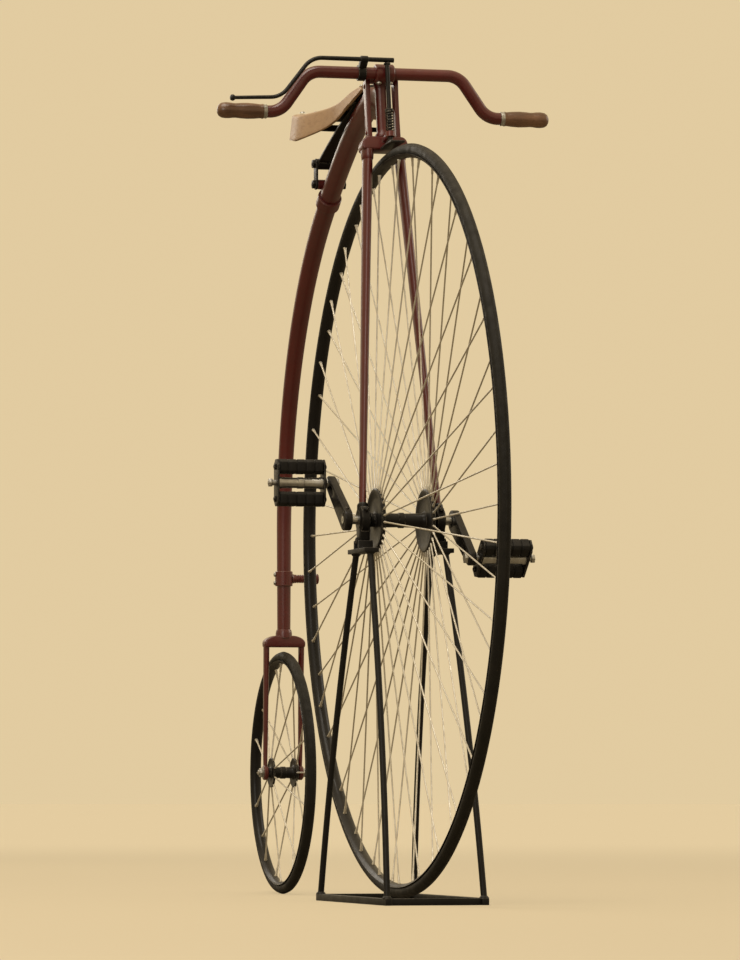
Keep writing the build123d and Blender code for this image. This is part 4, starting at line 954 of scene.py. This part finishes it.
# Rear fork blades: flat oval steel tubes under dark red enamel, brazed into the ends of the crown. They taper
# downwards to round eyes, which take the rear axle.
rear_blade_place, eye_radius, eye_depth = 0.034, 0.014, 0.008
rear_blade_table = (  # share of the way up, half depth, half width
    (0.0, 0.008, 0.0033), (0.06, 0.0071, 0.0039), (0.15, 0.0072, 0.0042), (1.0, 0.010, 0.0055))
bm = bmesh.new()
for side in (1, -1):
    foot = Vector((rear_axle.x, side * rear_blade_place, rear_axle.z + eye_radius - 0.004))
    top = Vector((tail_end.x, side * rear_blade_place, tail_top - rear_crown_rise + 0.004))
    put(bm, drawn([
        section(facing(foot.lerp(top, share), upwards), half_depth, half_width)
        for share, half_depth, half_width in rear_blade_table], 32))
    eye_place = facing(rear_axle + crosswise * side * rear_blade_place, crosswise)
    put(bm, sleeve(eye_depth, 0.0052, eye_radius, 0.0012, fall=0.0014), eye_place)
finished(bm, "rear_fork_blade_pair", "backbone", maroon, "rear_fork_blades")

# Rear axle: a turned steel bar that stands still between the blades while the hub turns on it. A bright
# washer and nut hold it outside each eye.
rear_axle_end, washer_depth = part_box("rear_axle")[1].y, 0.0014
bm = bmesh.new()
put(bm, shaft(2 * rear_axle_end, 0.005, 0.0012), looking_out(rear_axle, 1, -rear_axle_end))
for side in (1, -1):
    seat = looking_out(rear_axle, side, rear_blade_place + eye_depth / 2)
    put(bm, shaft(washer_depth, 0.0112, 0.0003), seat)
    nut(bm, moved(seat, z=washer_depth), 0.0056, 0.0095)
finished(bm, "rear_axle_and_nuts", "backbone", nickel, "rear_axle")

# Mounting step: a steel band clamped round the backbone, with a peg to the left that is cut with rings for
# the sole of the shoe.
step_height, step_length, step_band, step_wall = 0.596, 0.052, 0.028, 0.0035
groove_count, groove_start, groove_pitch = 9, 0.009, 0.0042
step_place, step_way, step_tube = met(backbone_line, 2, step_height)
band_outside = step_tube + step_wall
peg = [(0, 0), (0, 0.0105), (0.003, 0.0088), (0.006, 0.008)]
for k in range(groove_count):
    start = groove_start + k * groove_pitch
    peg += [(start, 0.008), (start + 0.0008, 0.0068), (start + 0.0018, 0.0068), (start + 0.0026, 0.008)]
peg += [(0.0475, 0.008), (0.0482, 0.0098), (0.0505, 0.010), (step_length - 0.0003, 0.0088), (step_length, 0)]
bm = bmesh.new()
band_place = facing(step_place, step_way, crosswise)
put(bm, sleeve(step_band, step_tube + 0.0002, band_outside, 0.001, 48), band_place)
put(bm, lathe(peg, 32), looking_out(step_place, 1, step_tube + step_wall / 2))
finished(bm, "step_band_and_peg", "backbone", maroon, "mounting_step")
bm = bmesh.new()
for end in (1, -1):
    nut(bm, looking_out(step_place + step_way * end * 0.008, -1, band_outside - 0.0004), 0.003, 0.0048, 0.001)
finished(bm, "step_bolts", "backbone", nickel)

# Leaf spring: a strip of spring steel, narrow at the neck and broad at the tail, where it is rolled into
# an eye. It is bolted to the backbone's top and bends less than it, so its eye stands clear.
spring_setback, spring_bow, spring_turn, spring_steps = 0.006, 1.9, radians(10), 20
strip_depth, strip_front, strip_tail, widening, eye_outside = 0.005, 0.024, 0.044, 1.06, 0.010
spring_seat, spring_way, spring_tube = met(backbone_line, 0, neck_end.x - spring_setback)
spring_up = Vector((spring_way.z, 0, -spring_way.x))
spring_start = spring_seat + spring_up * (spring_tube + 0.0003 + strip_depth / 2)
line = [(spring_start, spring_way)]
bend_on(line, spring_bow, spring_turn, spring_steps)
spring_line = [  # place, way, width
    (place, way, strip_front + (strip_tail - strip_front) * min(1.0, k / spring_steps * widening))
    for k, (place, way) in enumerate(line)]
to_corner = 2 ** -0.5  # the half widths of a square section are given to its corners
leaf = drawn([
    section(facing(place, way, crosswise), width * to_corner, strip_depth * to_corner)
    for place, way, width in spring_line], 4, pi / 4)
bmesh.ops.recalc_face_normals(leaf, faces=leaf.faces)
rounded(leaf, 0.001, 2, 50)
spring_eye = spring_line[-1][0]
bolt_seat = spring_start + spring_way * 0.0075 + spring_up * (strip_depth / 2 - 0.0003)
bm = bmesh.new()
put(bm, leaf)
put(bm, sleeve(strip_tail, 0.0052, eye_outside, 0.0012), facing(spring_eye, crosswise))
put(bm, shaft(0.0012, 0.0066, 0.0003), facing(bolt_seat, spring_up))
nut(bm, facing(bolt_seat + spring_up * 0.001, spring_up), 0.0032, 0.0052)
finished(bm, "saddle_spring", "backbone", black_enamel, "leaf_spring")

# Spring clip: a steel band clamped round the backbone under the spring's eye, in the same dark red enamel. A
# lug is brazed on its top for the shackle's lower bolt.
clip_wall, clip_width, web_width, shackle_bolt, lug_gap = 0.004, 0.024, 0.030, 0.005, 0.003
clip_place, clip_way, clip_tube = met(backbone_line, 0, spring_eye.x)
clip_outside = clip_tube + 0.0003 + clip_wall
lower_bolt = clip_place + upwards * (clip_outside + shackle_bolt + lug_gap)
web = doubled([(0.0078, -0.0150), (0.0062, -0.0050)])
bm = bmesh.new()
band_place = facing(clip_place, clip_way, crosswise)
put(bm, sleeve(clip_width, clip_tube + 0.0002, clip_outside, 0.0012, 48), band_place)
put(bm, sleeve(strip_tail, shackle_bolt + 0.0002, 0.009, 0.001, fall=0.0008), facing(lower_bolt, crosswise))
put(bm, plate(web, web_width, 0.0014), side_view(lower_bolt))
finished(bm, "spring_clip_band", "backbone", maroon, "spring_clip")

# Shackle: two flat steel links in black enamel that stand on the clip and hold the spring's eye between
# them, so that the spring can flex. Each end is on a cross bolt with nuts.
link_place, link_depth = strip_tail / 2 + 0.0023, 0.004
link = link_outline(0, spring_eye.z - lower_bolt.z, 0.010, 0.0098)
bm = bmesh.new()
for side in (1, -1):
    put(bm, plate(link, link_depth, 0.0011), side_view(spring_eye, side * link_place, -pi / 2))
    for bolt_place in (spring_eye, lower_bolt):
        nut(bm, looking_out(bolt_place, side, link_place + link_depth / 2), 0.0052, 0.0085, 0.0012)
for bolt_place in (spring_eye, lower_bolt):
    put(bm, shaft(2 * link_place, shackle_bolt, 0.0002), looking_out(bolt_place, 1, -link_place))
finished(bm, "shackle_links", "backbone", black_enamel, "spring_shackle")

# Saddle frame: two steel rails from the nose to the cantle plate under the back, where the leather is
# riveted, and a clamp that holds them on the leaf spring.
rail_radius, clamp_place, clamp_length, clamp_eye = 0.003, 0.152, 0.024, 0.022
cantle_half, cantle_depth, cantle_steps = 0.0845, 0.006, 12
rail_front, rail_back = Vector((0.049, 0.018, -0.0188)), Vector((0.253, 0.052, -0.0448))


def behind(place, offset, height):
    """A point by its place behind the spring's front end, its distance to the left and its height."""
    return spring_start + Vector((-place, offset, height))


clamp_seat = rail_front.lerp(rail_back, (clamp_place - rail_front.x) / (rail_back.x - rail_front.x))
clamp_half = clamp_seat.y + 2 * rail_radius
clamp_middle = met(spring_line, 0, spring_start.x - clamp_place)[0]
foot = clamp_middle.z - spring_start.z + strip_depth / 2 + 0.0003
block = [
    (-clamp_length / 2, foot - 0.0042), (clamp_length / 2, foot + 0.0042),
    (clamp_length / 2, clamp_seat.z + 0.003), (-clamp_length / 2, clamp_seat.z + 0.003)]
cantle = []
for way, edge, sag in ((1, 0.006, -0.003), (-1, -0.006, 0.002)):
    for k in range(cantle_steps + 1):
        share = way * (2 * k / cantle_steps - 1)
        cantle.append((share * cantle_half, edge + sag * share ** 2))
bm = bmesh.new()
for side in (1, -1):
    start, end, seat = (
        behind(point.x, side * point.y, point.z) for point in (rail_front, rail_back, clamp_seat))
    put(bm, shaft((end - start).length, rail_radius, 0.0004, 20), facing(start, end - start))
    eye = sleeve(clamp_eye, rail_radius + 0.0001, 2 * rail_radius, 0.001, 28, fall=0.0006)
    put(bm, eye, facing(seat, end - start))
put(bm, plate(block, 2 * clamp_half, 0.0014), side_view(behind(clamp_place, 0, 0)))
cantle_middle = behind(rail_back.x + 0.003, 0, rail_back.z)
put(bm, plate(cantle, cantle_depth, 0.001), Matrix.Translation(cantle_middle) @ front_view)
finished(bm, "saddle_rails", "backbone", black_enamel, "saddle_frame")

# Saddle leather: one thick tan hide, stretched from the nose to the cantle and moulded wet, so that it is
# narrow and high at the nose, dished along the middle and broad at the back, with a skirt down each side.
saddle_table = (  # place behind the spring's end, height of the top, half width, depth of the skirt
    (0.015, 0.0062, 0.0200, 0.0055),
    (0.045, 0.0012, 0.0290, 0.0170),
    (0.122, -0.0168, 0.0470, 0.0340),
    (0.202, -0.0238, 0.0890, 0.0480),
    (0.265, -0.0168, 0.0900, 0.0500),
)
hide_start, hide_end = saddle_table[0][0], saddle_table[-1][0]
leather_depth, skirt_fold, nose_end = 0.005, 0.72, 0.06
length_steps, round_steps = 54, 36


def eased(table, place):
    """The row of a table at a place, on a smooth curve through its rows."""
    for k in range(len(table) - 1):
        if place <= table[k + 1][0] or k == len(table) - 2:
            break
    start, end = table[k], table[k + 1]
    before, after = table[max(k - 1, 0)], table[min(k + 2, len(table) - 1)]
    span = end[0] - start[0]
    share = (place - start[0]) / span
    row = []
    for column in range(1, len(start)):
        slope_in = (end[column] - before[column]) / (end[0] - before[0]) * span
        slope_out = (after[column] - start[column]) / (after[0] - start[0]) * span
        row.append(
            start[column] * (1 + 2 * share) * (1 - share) ** 2 + slope_in * share * (1 - share) ** 2
            + end[column] * share ** 2 * (3 - 2 * share) - slope_out * share ** 2 * (1 - share))
    return row


def on_hide(along, across):
    """A point in the middle of the leather, by its shares of the length and of half the width."""
    place = hide_start + (hide_end - hide_start) * along
    height, half_width, skirt = eased(saddle_table, place)
    turn = min(1.0, abs(across) / skirt_fold)
    fall = max(0.0, (abs(across) - skirt_fold) / (1 - skirt_fold))
    crown = 0.0035 * (1 - turn ** 2) * (1 - 0.4 * along)
    tuck = 0.010 * fall * (1 - along) if place < nose_end else 0.0
    bow = 0.008 * max(0.0, 4 * along - 3) * (0.35 - turn ** 2 - 0.5 * fall)
    offset = half_width * (0.93 * sin(turn * pi / 2) + 0.07 * fall) * (1 if across > 0 else -1)
    drop = skirt * (0.10 * turn ** 4 + 0.90 * fall ** 0.85)
    return behind(place - tuck + bow, offset, height - 0.0036 + crown - drop)


bm = bmesh.new()
for vert in bmesh.ops.create_grid(bm, x_segments=length_steps, y_segments=round_steps, size=1)["verts"]:
    vert.co = on_hide((vert.co.x + 1) / 2, vert.co.y)
bmesh.ops.smooth_vert(bm, verts=bm.verts, factor=0.5, use_axis_x=True, use_axis_y=True, use_axis_z=True)
bmesh.ops.recalc_face_normals(bm, faces=bm.faces)
if sum(face.normal.z * face.calc_area() for face in bm.faces) < 0:
    bmesh.ops.reverse_faces(bm, faces=bm.faces)
bmesh.ops.solidify(bm, geom=list(bm.faces), thickness=leather_depth)
bmesh.ops.recalc_face_normals(bm, faces=bm.faces)
rounded(bm, 0.0012, 2, 60)

tan_leather, tree, shader = new_material("tan_leather")
hide = placed(tree, blotches, Scale=16.0, Contrast=1.6)
colour = tinted(tree, hide, (0.34, 0.195, 0.092), (0.50, 0.32, 0.168))
creases = noise(tree, 90.0, 5.0, (1.0, 1.0, 2.5))
lines = sums(tree, "MULTIPLY", excess(tree, 0.52, creases, 2.2), 0.7)
wear = placed(tree, edge_wear, Reach=0.003, Scale=60.0, Amount=0.8)
edged = tinted(tree, wear, tinted(tree, lines, colour, (0.20, 0.098, 0.042)), (0.12, 0.052, 0.022))
place = new_node(tree, "TexCoord").outputs["Object"]
pores = new_node(tree, "TexVoronoi", {"Vector": place, "Scale": 520.0}, feature="DISTANCE_TO_EDGE")
skin = sums(tree, "MINIMUM", sums(tree, "MULTIPLY", pores.outputs["Distance"], 4.0), 0.5)
wired(tree, shader, {
    "Base Color": dusty(tree, edged, 0.12),
    "Roughness": between(tree, hide, 0.42, 0.62),
    "Coat Weight": 0.08, "Coat Roughness": 0.35,
    "Normal": raised(tree, sums(tree, "ADD", skin, creases), 0.0008, 0.45)})
finished(bm, "saddle_hide", "backbone", ("saddle_leather", tan_leather), "saddle_leather", sharp=60)

# Saddle rivets: domed steel rivets on washers, a row through the leather's back edge into the cantle plate,
# and two at the nose.
rivet_seats = [(0.955, across, 1.0) for across in (-0.41, -0.224, -0.072, 0.072, 0.224, 0.41)]
rivet_seats += [(0.06, -0.28, 0.75), (0.06, 0.28, 0.75)]  # shares of the length and the half width, size
dome = [
    (0, 0), (0, 0.0058), (0.0010, 0.0056), (0.0011, 0.0046), (0.0021, 0.0042), (0.0030, 0.0028), (0.0034, 0)]
bm = bmesh.new()
for along, across, size in rivet_seats:
    place = on_hide(along, across)
    way = (on_hide(along + 0.01, across) - place).cross(on_hide(along, across + 0.01) - place)
    if way.z < 0:
        way = -way
    seat = facing(place + way.normalized() * (leather_depth / 2 - 0.0006), way)
    put(bm, lathe([(height, reach * size) for height, reach in dome], 28), seat)
finished(bm, "saddle_rivets", "backbone", nickel)

# Display stand: black painted rod and flat bar, welded. Under each fork end is a cradle with two lips, on
# two bowed legs that stand on a square rail, and two ties join the rails on the floor.
rod, cradle_depth, cradle_width, cradle_half = 0.012, 0.008, 0.026, 0.058
leg_radius, leg_bow, leg_inset, leg_steps, foot_span, foot_offset = 0.0055, 0.016, 0.010, 24, 0.225, 0.086
lip_start, lip_depth, lip_rise = foot_width / 2 + 0.0003, 0.006, 0.014
cradle_top = front_axle.z - foot_reach - 0.0003
stand_black = enamel(
    "stand_black", deep=(0.005, 0.0045, 0.0035), light=(0.010, 0.0085, 0.0065), bare=(0.24, 0.20, 0.15),
    gloss=0.44, coat_weight=0.05, shine=0.2, dust_amount=0.15, chips=0.5)
outline = doubled([
    (cradle_half, -cradle_depth), (cradle_half, 0), (lip_start + lip_depth, 0),
    (lip_start + lip_depth, lip_rise), (lip_start, lip_rise), (lip_start, 0)])
cradle_place = Vector((front_axle.x, 0, cradle_top))
bm = bmesh.new()
for side in (1, -1):
    put(bm, plate(outline, cradle_width, 0.0009), side_view(cradle_place, side * bearing_place))
finished(bm, "stand_cradle_pair", "fork", stand_black, "stand_cradles")
weld = [(0, 0), (0, 0.0086), (0.0012, 0.0084), (0.0030, 0.0068), (0.0042, 0.0056), (0.0042, 0)]
bm = bmesh.new()
for side, end in ((1, 1), (1, -1), (-1, 1), (-1, -1)):
    top = cradle_place + Vector((end * (cradle_half - leg_inset), side * bearing_place, -cradle_depth))
    foot = Vector((front_axle.x + end * foot_span, side * foot_offset, rod))
    control = (top + foot) / 2 + Vector((end * leg_bow * 2, 0, 0))
    stations = []
    for k in range(leg_steps + 1):
        share = k / leg_steps
        place = top * (1 - share) ** 2 + control * 2 * share * (1 - share) + foot * share ** 2
        way = (control - top) * (1 - share) + (foot - control) * share
        stations.append(section(facing(place, way, crosswise), leg_radius, leg_radius))
    put(bm, drawn(stations, 20))
    put(bm, lathe(weld, 20), facing(foot - upwards * 0.0002, upwards))
    put(bm, lathe(weld, 20), facing(top + upwards * 0.0002, -upwards))
finished(bm, "stand_leg_set", "fork", stand_black, "stand_legs")
square = doubled([(rod / 2, -rod / 2), (rod / 2, rod / 2)])
bm = bmesh.new()
for side in (1, -1):
    place = facing(Vector((front_axle.x, side * foot_offset, rod / 2)), Vector((1, 0, 0)), crosswise)
    put(bm, plate(square, 2 * (foot_span + rod), 0.001), place)
finished(bm, "stand_rail_pair", "fork", stand_black, "stand_rails")
bm = bmesh.new()
for end in (1, -1):
    place = facing(Vector((front_axle.x + end * foot_span, 0, rod / 2)), crosswise)
    put(bm, plate(square, 2 * foot_offset - rod + 0.0004, 0.001), place)
finished(bm, "stand_tie_pair", "fork", stand_black, "stand_ties")
